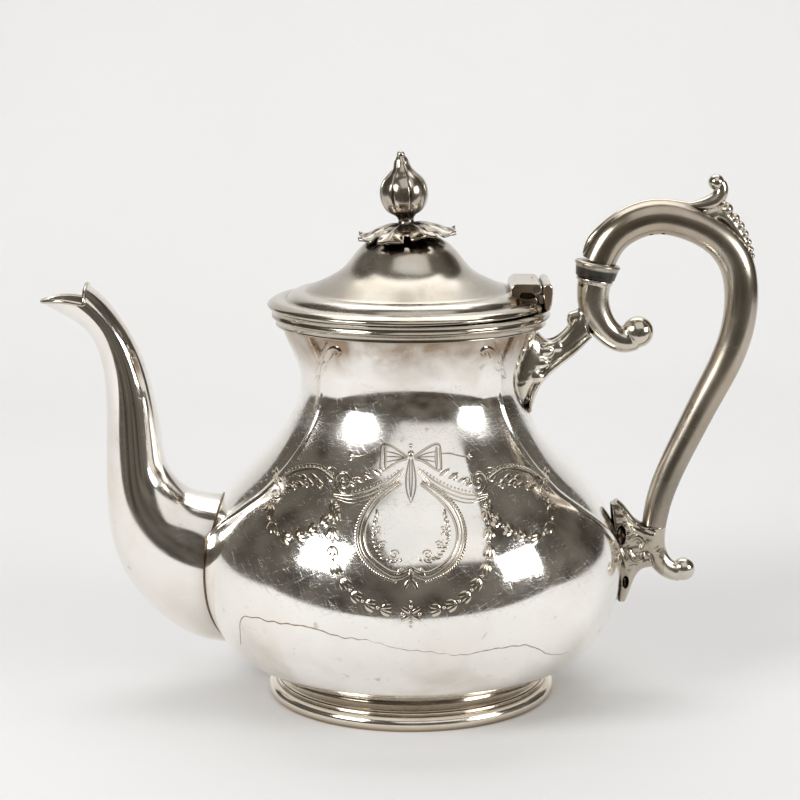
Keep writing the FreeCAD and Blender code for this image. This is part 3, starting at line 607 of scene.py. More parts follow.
def make_leaves():
    """Leaves that droop from a hub, each with a midrib, side veins and a frilled edge."""
    parts = []
    drop = graph([0, 5, 12, 18, 20], [2.2, 2.4, 0.8, -1.7, -1.6])
    for k in range(8):
        turn = (k + 0.5) * pi / 4
        along, across = np.linspace(0.02, 1, 34), np.linspace(-1, 1, 21)
        top, under = [], []
        for t in along:
            lobes = 1 + 0.16 * cos(t * 22)
            width = (1.7 + 4.4 * sin(pi * t ** 1.25) ** 0.8) * lobes * min(1, (1 - t) * 7 + 0.05)
            row = []
            for c in across:
                rib = 0.75 * exp(-(c / 0.16) ** 2) * (1 - 0.5 * t)
                vein = 0.34 * cos(t * 24 - abs(c) * 5) * abs(c)
                curl = -1.9 * c * c * (1 - 0.5 * t) + (1.0 + 0.4 * sin(3.1 * k)) * abs(c) ** 4
                curl += 1.5 * max(0, t - 0.72) * (1 + sin(2.3 * k)) * 2.2
                r, w = 19.6 * t, width * c
                row.append((r, w, float(drop(r)) + rib + vein + curl))
            row = np.array(row)
            top.append(row)
            under.append(row - np.array([0, 0, 0.9]))
        c, s = cos(turn), sin(turn)
        both = np.concatenate([np.array(top), np.array(under)[:, ::-1]], 1)
        parts.append(grid(both @ np.array([[c, s, 0], [-s, c, 0], [0, 0, 1]]), ends=True))
    collar = [(0.05, 2.35), (3, 2.4), (4.1, 2.1), (4.4, 1.2), (4.2, 0), (4.4, -0.6), (0.05, -0.6)]
    parts.append(lathe(collar, 48))
    return merge(parts)


leaves = new_object("leaves", *make_leaves())
leaves.data.transform(on_crown)
place(leaves, "lid", "silver_cast", finial_mat, "finial_leaves")


# Spout: a low edge and a high edge, measured out from the belly and up from a level, and a half width

spout_table = [
    (-18, -27, -18, 30, 24, belly_z), (1.5, -24.6, -3.5, 31.4, 22.5, belly_z),
    (21.9, -9.8, 5.6, 34.4, 18.5, belly_z), (33.2, 11, 11.6, 41.2, 15, belly_z),
    (35.6, 40, 14.2, 50.4, 12.4, belly_z), (35, -42.4, 15.8, -40.4, 10.8, rim_z),
    (36.1, -22.4, 20.3, -21.4, 9.7, rim_z), (41.2, -9.8, 27.2, -6.8, 9, rim_z),
    (50.4, -3, 36.8, 5.2, 9.4, rim_z), (62, 3.6, 48.6, 13.4, 10.2, rim_z)]
skin_rows, lip_rows, spout_wall = 150, 7, 1.3
step_x, lip_length = -121.2, 18.5


def ring(line, radius, toward):
    """Round wire along a closed line; toward is a direction that the line never takes."""
    way = unit(np.roll(line, -1, 0) - np.roll(line, 1, 0))
    side = unit(np.cross(way, toward))
    over = np.cross(side, way)
    return grid([line + radius * (side * cos(k) + over * sin(k)) for k in turns(12)], loop=True)


def seam_line(lines):
    """Where the lines of the spout come out of the lobed body."""
    points = []
    for line in lines:
        x, y, z = line.T
        round_body = body_radius(z)
        angle = np.degrees(np.arctan2(np.abs(x), np.abs(y)))
        gap = np.hypot(x, y) - round_body - body_swell(angle, round_body, z)
        k = max(1, int(np.argmax(gap > 0)))
        share = np.clip(gap[k - 1] / (gap[k - 1] - gap[k]), 0, 1)
        points.append(line[k - 1] + share * (line[k] - line[k - 1]))
    return np.array(points)


def make_spout():
    """Net along the lines of the spout, each trimmed at the body and at the stepped lip."""
    table = np.array([(-belly_r - a, z + b, -belly_r - c, z + d, w) for a, b, c, d, w, z in spout_table])
    fine = trace(table, 1400)
    under, upper, half = fine[:, 0:2], fine[:, 2:4], fine[:, 4]
    middle, up = (under + upper) / 2, (upper - under) / 2
    reach = np.linalg.norm(up, axis=1)
    up = up / reach[:, None]

    def skin(inset):
        lines = []
        for a in turns(120):
            tall = (reach - inset) * (cos(a) + 0.14 * sin(a) ** 2)
            wide = (half - inset) * copysign(abs(sin(a)) ** 1.1, sin(a))
            x, z = middle[:, 0] + up[:, 0] * tall, middle[:, 1] + up[:, 1] * tall
            line = np.stack([x, wide, z], 1)
            inside = (np.hypot(x, wide) < body_radius(z) - 0.5) | (x > -50)
            first = int(np.argmin(inside[:800])) if inside[0] else 0
            arch = 1.3 * np.sin(pi * np.clip((step_x - x) / lip_length, 0, 1))
            gone = (z > rim_z + 1.5 + arch) & (x < step_x)
            last = int(np.argmax(gone)) if gone.any() else len(line) - 1
            index = first + np.linspace(0, 1, skin_rows) * (last - first)
            low = np.floor(index).astype(int)
            part = (index - low)[:, None]
            lines.append(line[low] * (1 - part) + line[np.minimum(low + 1, len(line) - 1)] * part)
        return np.array(lines).transpose(1, 0, 2)
    outer, inner = skin(0), skin(spout_wall)
    edge = np.linspace(0, pi, lip_rows + 2)[1:-1, None, None]
    middle_line, half_wall = (outer[-1] + inner[-1]) / 2, (outer[-1] - inner[-1]) / 2
    lip = middle_line + half_wall * np.cos(edge) + np.array([-0.25, 0, 0.45]) * np.sin(edge)
    rows = np.concatenate([outer, lip, inner[::-1]])
    lip_wire = ring(middle_line + half_wall * 0.3, 0.75, [0.2, 0.1, 0.97])
    solder = ring(seam_line(outer.transpose(1, 0, 2)), 0.5, [1, 0, 0])
    return grid(rows, loop=True), lip_wire, solder


spout_nets = make_spout()
spout = new_object("spout_pipe", *merge(spout_nets))
place(spout, "pot", "silver_sheet", plate_mat, "spout_front", "spout_back")
skin_faces, wire_faces = len(spout_nets[0][1]), len(spout_nets[1][1])
inside_from = skin_faces * (skin_rows + lip_rows) // (2 * skin_rows + lip_rows)
for mat, start in ((inner_mat, inside_from), (band_mat, skin_faces), (seam_mat, skin_faces + wire_faces)):
    coat(spout, mat, lambda face: face.index >= start)


# Handle with its heat break

handle_stations = [(handle_start[0], handle_start[2], 6.4)]
handle_stations += [(belly_r + x, rim_z + z, r) for x, z, r in (
    (-5.6, 25, 6.4), (1.2, 30.4, 6.45), (11.5, 33.4, 6.5), (23.6, 31.2, 6.5), (34.4, 25.4, 6.5),
    (41.2, 16.6, 6.45), (43.6, 5.4, 6.3), (42.8, -7.2, 6.15))]
handle_stations += [(belly_r + x, belly_z + z, r) for x, z, r in (
    (38.8, 83, 6), (32.2, 69.4, 5.7), (23.8, 52, 5.35), (17.6, 38, 5.1), (14.1, 26.8, 4.85),
    (12.8, 19, 4.6))]
handle = new_object("handle", *sweep(handle_stations, 56, 240))
vents = merge([rod((91.5 + k, 0, 181), (91.5 + k, -4.2, 172), 0.8) for k in (-2.2, 2.2)])
cut(handle, new_object("vent_drill", *vents))
handle.data.set_sharp_from_angle(angle=radians(50))
place(handle, "pot", "silver_sheet", tube_mat, "handle_tube")

socket_top = handle_start - axis * 6.1
stand = Matrix.Translation(Vector(socket_top) * MM) @ Matrix.Rotation(tilt, 4, "Y")
collar_profile = ([(0.05, 0), (6.6, 0)] + bow((6.9, 0), (7.45, 0.7), -0.2, 5) + [(7.7, 2), (8.2, 4.2)]
                  + bow((8.45, 4.6), (8.3, 5.6), -0.25, 6) + [(7.9, 5.95), (6.6, 6.1), (0.05, 6.1)])
collar = new_object("collar", *lathe(collar_profile, 96))
collar.data.transform(stand)
place(collar, "pot", "insulator", heat_break(), "handle_insulator")


# Castings that hold the handle

def body_core(name):
    """Solid a little inside the round body, to trim what stands on it."""
    hull = [(r - 0.6, z) for r, z in side_profile(np.linspace(0, 1, 90))]
    return new_object(name, *lathe([(0.05, 9)] + hull + [(0.05, rim_z)], 128))


def ridge(points, radius, side):
    """Raised rib along one face of a casting: (x, z, how far out along Y)."""
    parts = []
    for k, (x, z, y) in enumerate(trace(points, 40)):
        parts.append(sphere((x, side * y, z), radius * (0.55 + 0.45 * sin(pi * (k + 3) / 46)), 8))
    return merge(parts)


def make_upper_socket():
    """Scroll with a volute under the collar, on a leaf arm that spreads over the neck."""
    scroll = [(socket_top[0], socket_top[2], 6.4), (68.2, 151.4, 6), (70.2, 143.9, 5.6), (74.5, 138.2, 5),
              (80.3, 135.3, 4.6), (84.4, 135.9, 4.2)]
    parts = [sweep(scroll, 36, 80), sphere((85.2, 0, 138.6), 5.9, 32, (1, 0.95, 1))]
    parts.append(arm([(67.2, 136.2, 63.4, 147.6, 4.2), (57.6, 128, 57.4, 138.4, 4.2),
                      (50.7, 122.8, 52.4, 135.4, 5), (45.2, 115.5, 48, 138.4, 7.2),
                      (41, 109.5, 42, 142, 8.4), (36, 109, 36, 142, 8.4)]))
    parts.append(arm([(64, 141, 64.4, 148.4, 3.4), (60.6, 140, 61.4, 146.8, 3.3),
                      (58.9, 141, 59.6, 146.2, 2.8), (58.3, 143, 58.7, 145.6, 1.8)], 20, 24))
    parts.append(arm([(46, 109, 43, 116, 4), (45.6, 108.2, 42, 109.8, 2.6),
                      (43.8, 106.4, 41.8, 107.2, 1.4)], 20, 24))
    cuff = [(0.05, -1.6), (6.4, -1.6), (7, -1.1), (7, -0.5), (6.7, -0.1), (0.05, -0.1)]
    verts, faces = lathe(cuff, 64)
    turned = np.array([[axis[2], 0, axis[0]], [0, 1, 0], [-axis[0], 0, axis[2]]])
    parts.append((verts @ turned.T + socket_top, faces))
    leaf_rib = [(67, 137.2, 3.6), (58.6, 129.8, 4), (52.6, 125.2, 4.8), (47.4, 119, 5.6),
                (45, 111, 4.2)]
    upper_rib = [(61.6, 143, 3.2), (57.2, 137.2, 3.4), (52.4, 134.6, 4.4), (49.4, 134.8, 5.6)]
    scroll_rib = [(64.8, 152, 3.6), (65.6, 145, 3.6), (69.6, 138.6, 3.4), (75, 134.4, 3.2)]
    lobes = ((50.2, 132, 5, 2.7), (48.4, 127.6, 5.9, 2.8), (46.6, 122.6, 6.2, 2.6),
             (54.6, 133.4, 3.8, 2.2))
    for side in (-1, 1):
        parts += [ridge(leaf_rib, 1.35, side), ridge(upper_rib, 1.1, side)]
        parts += [sphere((x, side * y, z), size, 16, (1.15, 0.5, 0.8)) for x, z, y, size in lobes]
        parts.append(ridge(scroll_rib, 0.7, side))
    piece = cast("upper_bracket", parts, 0.42, 4)
    toward = np.array([-0.788 * axis[2], -0.616, 0.788 * axis[0]])
    middle = socket_top - 3.2 * axis
    dimple = new_object("pin_hole", *rod(middle + 1.0 * toward, middle + 9.0 * toward, 0.95))
    cut(piece, dimple, body_core("core_a"))
    return piece


upper = place(make_upper_socket(), "pot", "silver_cast", cast_mat, "upper_socket")
coat(upper, leaf_mat, lambda face: face.center.x < 0.0595)


def make_lower_socket():
    """Scroll under the tube, and a bracket of leaf bars over a solid web with two pits on each face."""
    scroll = [(92.8, 64, 4.7), (93, 57, 4.2), (95, 50.6, 4), (99, 46.6, 3.7), (103.2, 45.2, 3.5)]
    parts = [sweep(scroll, 32, 60), sphere((104.4, 0, 46.6), 4.4, 28, (1, 0.95, 1))]
    high = [(92.5, 60.6, 3.6), (87.4, 62.2, 3), (83, 66, 2.3), (79.6, 70.6, 2.1), (77.2, 73, 1.9)]
    back = [(76.9, 72.8, 1.1), (77.3, 66, 0.9), (78, 60, 0.9), (79, 52, 1.3), (80.2, 46, 1.2),
            (80.2, 34.2, 1)]
    low = [(91.5, 51.2, 3.6), (87.2, 48.8, 2.5), (84.2, 43.6, 1.6), (82.5, 38.4, 1.4), (81, 34, 1.2)]
    tie = [(79.4, 55.4, 1.4), (81.4, 50.6, 1.5), (82.4, 46.6, 1.1)]
    parts += [sweep(line, 20, 40, width) for line, width in ((high, 1.5), (back, 3), (low, 1.5), (tie, 2.8))]
    web = [(92, 61), (85.6, 62.6), (81, 68.4), (77.4, 72.4), (77.2, 66), (78.2, 58), (79.4, 50),
           (80.2, 42), (80.4, 34.6), (81.8, 36), (83.8, 42.6), (86.8, 48.4), (92, 50.4)]
    parts.append(slab(trace(web + web[:1], 120, False), 3.2, 0.5))
    ribs = (([(90.2, 63, 3.8), (85.6, 65, 3.6), (81.8, 69, 3.2), (78.6, 72.6, 2.6)], 0.7),
            ([(84.2, 58.8, 3.4), (86.2, 60.2, 3.6), (88.4, 58.4, 3.8), (87.8, 55.8, 3.8)], 0.8),
            ([(83.4, 54.4, 3.4), (85.4, 51.2, 3.5), (87.8, 51.2, 3.6), (88.4, 53.4, 3.6)], 0.8),
            ([(96.4, 60, 2), (96.2, 55, 2.4), (98.4, 50.6, 2.4), (102, 48.4, 2.2)], 0.6))
    parts += [ridge(points, radius, side) for side in (-1, 1) for points, radius in ribs]
    piece = cast("lower_bracket", parts, 0.36, 4)
    for x, z, wide, tall in ((80.1, 60.6, 1.9, 4), (82.1, 42.2, 1.3, 2.5)):
        outline = [(x + wide * cos(a), z + tall * sin(a)) for a in turns(28)]
        verts, faces = slab(outline, 4.5, 0, 2)
        for side in (-1, 1):
            cut(piece, new_object("pit", verts + np.array([0, side * 5.2, 0]), faces))
    cut(piece, body_core("core_b"))
    return piece


lower = place(make_lower_socket(), "pot", "silver_cast", bracket_mat, "lower_socket")
coat(lower, cast_mat, lambda face: face.center.x > 0.0965)


def make_thumb():
    """Leaf that springs from the tube and curls up to a knob, with beads down its back."""
    curl = [(98, 184, 1), (103.4, 185.6, 1.6), (108.4, 186.3, 2.5), (112.2, 187.6, 3),
            (114.6, 190, 2.8), (115.2, 192.6, 2.5), (114.6, 194.6, 2.3)]
    heel = [(108, 181, 3), (112, 183, 3.4), (115, 184.6, 2.6), (116, 187.6, 1.6)]
    rib = [(64.9, 168, 1), (67, 173, 1.5), (70.6, 177, 1.7), (78.9, 183.4, 1.7), (91.4, 187, 1.7),
           (99, 186.4, 1.7), (105, 185.6, 1.6)]
    beads = ((117.3, 184.7, 2.5), (120.4, 181.2, 2), (122.4, 178.4, 1.9), (124.1, 175.4, 1.75),
             (125.5, 172.4, 1.55), (126.6, 169.6, 1.3), (127.4, 167.2, 1))
    spine = [(112.6, 183.4, 2.4), (116, 182.4, 2.4), (120.2, 178.2, 2.2), (123.4, 173.4, 2),
             (125.4, 169.4, 1.6), (126.9, 165.4, 1)]
    parts = [sweep(curl, 28, 90, 1.1), sphere((113.2, 0, 194.8), 3, 24, (1, 1.1, 1))]
    parts += [sweep(heel, 24, 40), sweep(rib, 20, 120)]
    parts += [sphere((x, 0, z), r, 18, (1, 1.35, 1)) for x, z, r in beads]
    parts.append(sweep(spine, 16, 40, 1.2))
    return cast("thumb_piece", parts, 0.28, 2)


place(make_thumb(), "pot", "silver_cast", cast_mat, "thumb_scroll")


# Hinge

def strap(name, outline, half, bevel):
    """Flat bar with rounded edges."""
    obj = new_object(name, *slab(outline, half, 0, 2))
    modify(obj, "BEVEL", width=bevel * MM, segments=5, limit_method="ANGLE")
    apply_modifiers(obj)
    return obj


def circle(x, z, r, count, start, stop):
    angles = np.linspace(start, stop, count, endpoint=False)
    return [(x + r * cos(k), z + r * sin(k)) for k in angles]


def end_faces(obj):
    """Darker brown metal on the faces that face along Y, the ends across the hinge and the floors of its
    hollows, and flat facets all over.
    """
    coat(obj, end_mat, lambda face: abs(face.normal.y) > 0.9)
    obj.data.polygons.foreach_set("use_smooth", [False] * len(obj.data.polygons))


def make_lid_leaf():
    """Folded strap with a rounded back, a hollow at each end and the two outer knuckles."""
    outline = [(36.8, lid_z + 4), (36.8, hinge_z - 0.9)]
    outline += bow((36.8, hinge_z - 0.9), (39.4, hinge_z + 2), 0.8, 8)[1:]
    outline += circle(hinge_x, hinge_z, 2, 18, 1.75, -1.9)
    outline += bow((46, hinge_z - 3.3), (46, hinge_z - 5.4), 0.7, 7) + [(40, lid_z + 2.6)]
    leaf = strap("lid_strap", outline, 14, 0.7)
    notch = circle(hinge_x, hinge_z, 2.25, 16, 2, 4.4) + [(60, 140), (60, 170)]
    gap = new_object("gap", *slab(notch, 5.1, 0, 2))
    bore = new_object("bore", *rod((hinge_x, -20, hinge_z), (hinge_x, 20, hinge_z), 1.05, 32))
    hollow = [(40.2, -3.3), (40.1, -2.2), (40.9, -1.2), (44.2, -1.3), (45.5, -2.1), (46.2, -3.1),
              (43.4, -3.8)]
    verts, faces = slab([(x, hinge_z + z) for x, z in hollow], 4, 0, 2)
    ends = [new_object("hollow", verts + np.array([0, y, 0]), faces) for y in (-15.6, 15.6)]
    cut(leaf, gap, bore, *ends)
    return leaf


def make_body_leaf():
    """Rounded ear with the middle knuckle, over a crescent that completes the lid's edge."""
    front_x, back_x, top = hinge_x + 2.3, hinge_x + 5.9, hinge_z + 0.1
    middle = (front_x + back_x) / 2
    ear = [(front_x + 0.5, rim_z), (front_x + 0.5, rim_z + 3), (front_x, hinge_z - 2.4), (front_x, top)]
    ear += [(middle - 1.8 * cos(k), top + 1.9 * sin(k)) for k in np.linspace(0, pi, 13)[1:]]
    ear += [(back_x + 0.1, hinge_z - 2), (back_x - 0.2, rim_z + 2.4), (back_x - 1, rim_z)]
    leaf = strap("ear", ear, 14, 0.7)
    knuckle = strap("knuckle", circle(hinge_x, hinge_z, 2, 28, 0.1, 5.6)
                    + [(front_x + 0.3, hinge_z - 1.6), (front_x + 0.3, hinge_z + 0.2)], 4.8, 0.2)
    low, high = hinge_z - 5.6, hinge_z - 2.5
    stop = strap("stop", [(47.1, low), (49, low), (49, high), (47.1, high)], 13.3, 0.2)
    edge = lid_x + 52.2
    sweep_angle = acos((hinge_x + 0.3) / edge)
    rows = []
    for inset, z in ((0, rim_z), (0, rim_z + 1.2), (0.5, rim_z + 2.1), (1.4, rim_z + 2.6)):
        rows.append([((edge - inset) * cos(k), (edge - inset) * sin(k), z)
                     for k in np.linspace(-sweep_angle, sweep_angle, 40)])
    crescent = new_object("crescent", *grid(rows, ends=True))
    for other in (knuckle, stop, crescent):
        bm = bmesh.new()
        bm.from_mesh(leaf.data)
        bm.from_mesh(other.data)
        bm.to_mesh(leaf.data)
        bm.free()
        bpy.data.objects.remove(other)
    return leaf


end_faces(place(make_lid_leaf(), "lid", "silver_cast", hinge_mat, "hinge_lid_leaf"))
end_faces(place(make_body_leaf(), "pot", "silver_cast", hinge_mat, "hinge_body_leaf"))


# Engraving: fine lines, beads, leaves and bell flowers on the front and back lobes

sunk = -0.03


def length_of(curve, samples):
    return np.linalg.norm(np.diff(curve(np.linspace(0, 1, samples)), axis=0), axis=1).sum()


def groove(points, width, height=0.26, step=0.7, taper=True):
    """Line on the front lobe through (x, z) points, with a crest along its middle."""
    curve = cubic(points)
    count = max(6, int(length_of(curve, 60) / step))
    p = curve(np.linspace(0, 1, count))
    way = np.gradient(p, axis=0)
    way /= np.maximum(np.linalg.norm(way, axis=1), 1e-9)[:, None]
    swell = np.full(count, 1)
    if taper:
        swell = 0.35 + 0.65 * np.sin(pi * np.linspace(0.06, 0.94, count))
    off = np.stack([-way[:, 1], way[:, 0]], 1) * (width * swell[:, None] / 2)
    rows = [front(*edge.T, lift) for edge, lift in ((p + off, sunk), (p, height), (p - off, sunk))]
    return grid(np.stack(rows, 1), around=False)


def petal(x, z, angle, length, width, height=0.3):
    """Pointed leaf that starts at (x, z), with a cut along its middle."""
    c, s = cos(angle), sin(angle)
    rows = []
    for t in np.linspace(0, 1, 9):
        w = width * sin(pi * t ** 0.8) / 2 + 0.02
        swell = height * sin(pi * min(1, t + 0.08))
        row = []
        for k in (-1, -0.5, 0, 0.5, 1):
            lift = swell * (1 - k * k) + sunk - (0.10 if k == 0 else 0)
            row.append(front(x + c * length * t - s * w * k, z + s * length * t + c * w * k, lift))
        rows.append(row)
    return grid(rows, around=False)


def bead(x, z, radius):
    rows = []
    for t in np.linspace(0, 1, 5) * pi / 2:
        reach, lift = radius * cos(t) + 0.001, radius * 0.7 * sin(t) - 0.02
        rows.append([front(x + reach * cos(k), z + reach * sin(k), lift) for k in turns(9)])
    return grid(rows)


def beads_along(points, pitch, radius):
    curve = cubic(points)
    count = max(3, int(length_of(curve, 80) / pitch))
    return [bead(x, z, radius) for x, z in curve(np.linspace(0, 1, count))]


def bellflower(x, z, angle, size):
    parts = [petal(x, z, angle + k, 4.1 * size, 2.1 * size, 0.38) for k in (-0.5, 0.5, 0)]
    return parts + [bead(x - cos(angle) * size, z - sin(angle) * size, 0.6 * size)]


def garland(points, pitch, size):
    """Bell flowers one after another along a line."""
    curve = cubic(points)
    count = int(length_of(curve, 120) / pitch)
    t = (np.arange(count) + 0.3) / count
    parts = []
    for (x, z), (x2, z2) in zip(curve(t), curve(np.minimum(t + 0.02, 1))):
        parts += bellflower(x, z, atan2(z2 - z, x2 - x), size)
    return parts


def spiral(x, z, radius, winds, start):
    points = []
    for t in np.linspace(0, 1, 26):
        reach, a = radius * (1 - 0.78 * t), start + t * winds * 2 * pi
        points.append((x + reach * cos(a), z + reach * sin(a)))
    return points


def half_design(side):
    """One half of the ornament; side is 1 for the right and -1 for the left."""
    parts = []

    def flip(*points):
        return [(side * x, z) for x, z in points]

    def line(width, *points, taper=True):
        parts.append(groove(flip(*points), width, taper=taper))

    def leaf(x, z, angle, *size):
        parts.append(petal(side * x, z, angle if side == 1 else pi - angle, *size))

    def fringe(points, shares, turn, *size):
        curve = cubic(points)
        for t in shares:
            (x, z), (x2, z2) = curve(t), curve(t + 0.01)
            leaf(x, z, atan2(z2 - z, x2 - x) + turn, *size)

    # Bow with its tails
    line(0.9, (1.2, 101.6), (5.2, 104), (9.8, 105.4), (10.6, 101.6), (10.4, 97.2), (5.6, 99.6),
         (1.4, 101), taper=False)
    line(1.2, (9.2, 104.6), (9, 101.2), (9.2, 98))
    for k in (-1, 0, 1):
        line(0.45, (2, 101.4), (5.4, 101.6 + k), (8.6, 101.5 + 1.6 * k))
    line(0.5, (10.4, 102.4), (14.6, 102.2), (18.2, 101.2), (20.4, 101))
    for k in (-0.7, 0, 0.7):
        leaf(20.2, 101, k, 2.6, 0.9)
    line(0.6, (0.5, 101), (1.7, 95), (1.2, 90.4), (0, 87.8))
    line(0.5, (0.3, 100.6), (0.5, 95), (0.1, 89.6))

    # Medallion: three frame lines, then sprays and beads inside and a frill outside
    for off, width in ((0, 1), (1.5, 0.6), (2.4, 0.5)):
        line(width, (3.4 + off * 0.3, 93.3 + off * 0.4), (9.2 + off * 0.8, 89.4 + off * 0.6),
             (14.0 + off, 84.4 + off * 0.3), (16.2 + off, 78.6), (15.0 + off, 73.0 - off * 0.3),
             (10.2 + off * 0.6, 68.4 - off * 0.7), (4.4 + off * 0.2, 66.4 - off), (0.4, 68.2 - off),
             taper=False)
    for x, z, angle in ((12.6, 80.8, 1.9), (13.4, 77.6, 2.4), (12.8, 74.2, 2.9), (10.8, 71, 3.2),
                        (7.6, 69.6, 3), (12, 83.4, 1.6)):
        leaf(x, z, angle, 3, 1)
    parts += beads_along(flip((10.8, 78.4), (11.4, 75.8), (9.8, 72.8), (7.8, 71.4)), 1.7, 0.34)
    fringe([(11.6, 86.4), (13.9, 80), (12.8, 74), (8.6, 70.2), (3, 69.8)], np.linspace(0.04, 0.96, 15),
           -0.8, 2.3, 0.8)
    fringe([(6, 93.4), (11, 90), (16, 85.2), (18.6, 78.6), (17.2, 71.6), (11.8, 66.4), (5, 63.8)],
           np.linspace(0.03, 0.97, 44), 0.6, 2.2, 0.75, 0.25)
    for k in range(4):
        leaf(0.8 + k * 0.9, 67.4 + 0.3 * k, -0.65 - 0.2 * k, 4.6, 1.4)
    leaf(0.4, 64.6, -1.1, 4.8, 1.3)

    # Ribbon from the bow to the scrolls
    for off in (0, 1.3, 2.5):
        line(0.75 - off * 0.12, (2.6, 98.2 - off * 0.5), (7.4, 94.8 - off), (13.9, 91.5 - off),
             (21.4, 89.4 - off * 0.9), (27.4, 89.2 - off * 0.4))
    parts += beads_along(flip((4.6, 97.2), (8.6, 94.9), (14.4, 92.2), (20.8, 90.4)), 1.2, 0.34)
    for k, (x, z) in enumerate(((10, 95.6), (13.2, 94.6), (16.6, 93.4), (19.4, 92.2))):
        leaf(x, z, 0.5 - 0.06 * k, 5.2 - 0.5 * k, 1.3)

    # Scrolls, the arch over the leaves and small curls
    line(0.9, *spiral(24, 93.2, 3.6, 1.7, -2.2))
    parts.append(bead(side * 24, 93.2, 0.7))
    line(0.7, *spiral(28.6, 94.6, 2.6, -1.4, 2.6))
    for rise, width in ((0, 0.9), (1.3, 0.5)):
        line(width, (27.6, 93.2 + rise), (31.6, 95.4 + rise), (36.4, 95.4 + rise), (41.2, 94.0 + rise),
             (45.6, 91.6 + rise), taper=False)
    arch = flip((28.2, 94.4), (32, 96.2), (36.6, 96.2), (41.6, 94.8), (45.4, 92.6))
    parts += beads_along(arch, 1.25, 0.4)
    for x, z, angle in ((31, 91.2, 0.5), (34.6, 91, 0.4), (38.2, 90.2, 0.2), (41.8, 89, 0.1),
                        (33, 92.8, 0.3), (37, 92.6, 0.1)):
        leaf(x, z, angle, 4.2, 1.5)
    for x, z, radius, start in ((32.6, 91.4, 1.5, 2), (37.4, 91, 1.5, 2), (42, 89.6, 1.4, 1.8),
                                (15.4, 95, 1.3, 2.2), (20, 93.6, 1.2, 2.2), (5.8, 72.2, 1.7, 3),
                                (9.8, 75, 1.5, 2.6), (11.4, 79.6, 1.2, 2.4)):
        line(0.5, *spiral(x, z, radius, -1.3, start))

    # Rosette on the pleat, the two garlands and the flower below
    for k in range(6):
        leaf(48.9, 90.6, k * pi / 3 + 0.3, 2.7, 1.3)
    parts.append(bead(side * 48.9, 90.6, 0.8))
    line(0.7, *spiral(48.9, 86.6, 2.5, 1, 1.57), taper=False)
    parts += garland(flip((49.4, 84.6), (50.8, 80.6), (49.4, 76.4), (45, 74.4), (39.4, 75.6), (33.6, 78.6),
                          (28.8, 82.8), (26.4, 87)), 5, 1.05)
    parts += garland(flip((26.4, 87), (27.2, 80.4), (27.4, 73.2), (26.2, 66.6), (22.6, 61.4), (18.2, 57.2),
                          (12, 54.4), (6.6, 53.2)), 5.4, 1.12)
    leaf(0.2, 52.4, 0.62, 4.6, 1.5)
    leaf(0.2, 52, -0.62, 4.6, 1.5)
    for x, rise, radius in ((3, 0, 0.75), (0.01, 2.6, 0.75), (0.01, 4.4, 0.5)):
        parts.append(bead(side * x, 52.2 + side * rise, radius))
    return parts


middle_parts = [bead(0, 102.6, 1.1), bead(0, 105.2, 0.7), petal(0, 68, -pi / 2, 5.6, 1.7)]
ornament = merge(half_design(1) + half_design(-1) + middle_parts)
for name, turn in (("engraving_front", 0), ("engraving_back", pi)):
    piece = new_object(name, *ornament)
    piece.data.transform(Matrix.Rotation(turn, 4, "Z"))
    place(piece, "pot", "silver_sheet", cut_mat)


# Turned-over tips of the pleats, and the worn edge of the plating low on the front

hook = [(34.4, 125.6), (32.6, 129.4), (30.9, 133), (29.4, 136.2), (27.9, 138.4), (26.2, 138.6),
        (25.6, 137.2), (26.6, 136.2)]
tips = [groove([(side * x, z) for x, z in hook], 3, 1.1, 0.4) for side in (1, -1)]
place(new_object("pleat_tips", *merge(tips)), "pot", "silver_sheet", body_mat)

worn = [(-62.2, 30), (-62, 36.7), (-61.1, 42), (-53.2, 44), (-44.7, 44.9), (-37.3, 44.7),
        (-29.1, 43.7), (-23, 42.7), (-17, 42.1), (-7.3, 40.3), (3.1, 38.2), (11.9, 37.1), (19.2, 36.3),
        (32.4, 37.6), (41.8, 36.4), (50.7, 30.1), (57, 29)]
shaky = [(x, z + 0.16 * sin(x * 1.13) + 0.13 * sin(x * 2.9 + 1) + 0.3 * sin(x * 0.31))
         for x, z in trace(worn, 90)]
spans = ((-99, -14, 0.6, 0.05), (-16, 17, 0.25, 0.03), (14, 99, 0.5, 0.05))
worn_lines = [groove([p for p in shaky if low < p[0] < high], width, height, 0.5)
              for low, high, width, height in spans]
place(new_object("plating_edge", *merge(worn_lines)), "pot", "silver_sheet", wear_mat)


# Small pieces that keep their model shape

for mat, names in ((plate_mat, ("bottom_plate", "lid_bezel")), (brass_mat, ("finial_washer", "finial_nut")),
                   (pin_mat, ("hinge_pin", "socket_pin", "handle_pin", "handle_foot_pin"))):
    for name in names:
        nodes[name].data.materials.clear()
        nodes[name].data.materials.append(mat)


# Stage, in metres: pale paper under and behind the pot, a dark room in front and soft lamps

def paper():
    color = (0.89, 0.892, 0.893)
    mat, tree, shader = material("paper")
    tone = ramp(tree, noise(tree, 3, 5), 0.3, 0.7, tuple(c * 0.975 for c in color), color)
    feed(tree, shader, {"Base Color": tone, "Roughness": 0.9, "Specular IOR Level": 0.1})
    return mat


def make_sheet():
    """Paper that runs over the table and curves up behind the pot."""
    front_edge, flat_to, bend, top, half_width = -0.25, 0.6, 0.55, 1.7, 1.0
    profile = [(front_edge, 0), (0, 0), (0.3, 0), (flat_to, 0)]
    for k in np.linspace(0.08, pi / 2, 24):
        profile.append((flat_to + bend * sin(k), bend - bend * cos(k)))
    profile += [(flat_to + bend, 1), (flat_to + bend, top)]
    across = np.linspace(-half_width, half_width, 9)
    rows = [[(x / MM, y / MM, z / MM) for x in across] for y, z in profile]
    sheet = new_object("backdrop", *grid(rows, around=False))
    sheet.data.materials.append(paper())
    return sheet


make_sheet()


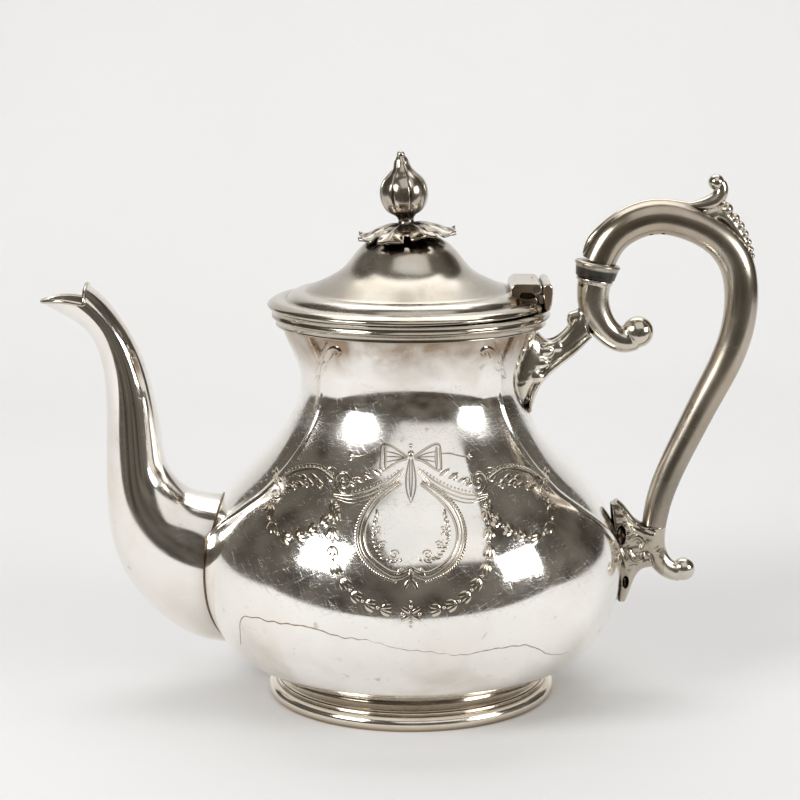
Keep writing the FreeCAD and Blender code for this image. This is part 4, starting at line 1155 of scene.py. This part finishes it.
def lamp(name, spot, target, size, power):
    data = bpy.data.lights.new(name, "AREA")
    data.shape = "RECTANGLE"
    data.size, data.size_y = size
    data.energy = power
    obj = bpy.data.objects.new(name, data)
    obj.location = spot
    obj.rotation_euler = (Vector(target) - Vector(spot)).to_track_quat("-Z", "Y").to_euler()
    bpy.context.collection.objects.link(obj)


lamp("lamp_left", (-1.02, -0.82, 0.79), (0, 0, 0.07), (0.62, 0.55), 12)
lamp("lamp_right", (1.26, -0.675, 0.53), (0, 0, 0.07), (0.60, 0.52), 8.5)
lamp("panel_front", (0.302, -0.987, 1.544), (0, 0, 0.07), (1.7, 1.68), 6.8)
lamp("lamp_top", (0, 0.95, 1.5), (0, 0.3, 0), (1.5, 0.9), 8.2)
lamp("lamp_back", (0, 0.40, 1.7), (0, 1.15, 0.45), (1.8, 0.5), 6.2)
lamp("lamp_over", (0.02, 0.06, 1.5), (0, 0, 0), (0.16, 0.12), 0.05)

# The pot mirrors a dark, blotchy room; the camera itself sees a pale background
world = bpy.data.worlds.new("room")
bpy.context.scene.world = world
world.use_nodes = True
tree = world.node_tree
tree.nodes.clear()
around = add(tree, "TexCoord").outputs["Generated"]
blotch = add(tree, "TexNoise", {"Vector": around, "Scale": 3.2, "Detail": 3}).outputs["Fac"]
dark = ramp(tree, blotch, 0.35, 0.72, (0.052, 0.044, 0.036), (0.17, 0.155, 0.13))
room = add(tree, "Background", {"Color": dark}).outputs[0]
pale = add(tree, "Background", {"Color": (0.88, 0.88, 0.88, 1)}).outputs[0]
seen = add(tree, "LightPath").outputs["Is Camera Ray"]
blend = add(tree, "MixShader", {0: seen, 1: room, 2: pale}).outputs[0]
add(tree, "OutputWorld", {"Surface": blend})


# Camera

camera_data = bpy.data.cameras.new("camera")
camera_data.lens = 100
camera_data.sensor_width = 36
camera_data.shift_x = -0.01357
camera = bpy.data.objects.new("camera", camera_data)
camera.location = (0, -0.82414, 0.27162)
camera.rotation_euler = (radians(90 - 10.928), 0, 0)
bpy.context.collection.objects.link(camera)
bpy.context.scene.camera = camera
bpy.context.scene.view_settings.view_transform = "Standard"
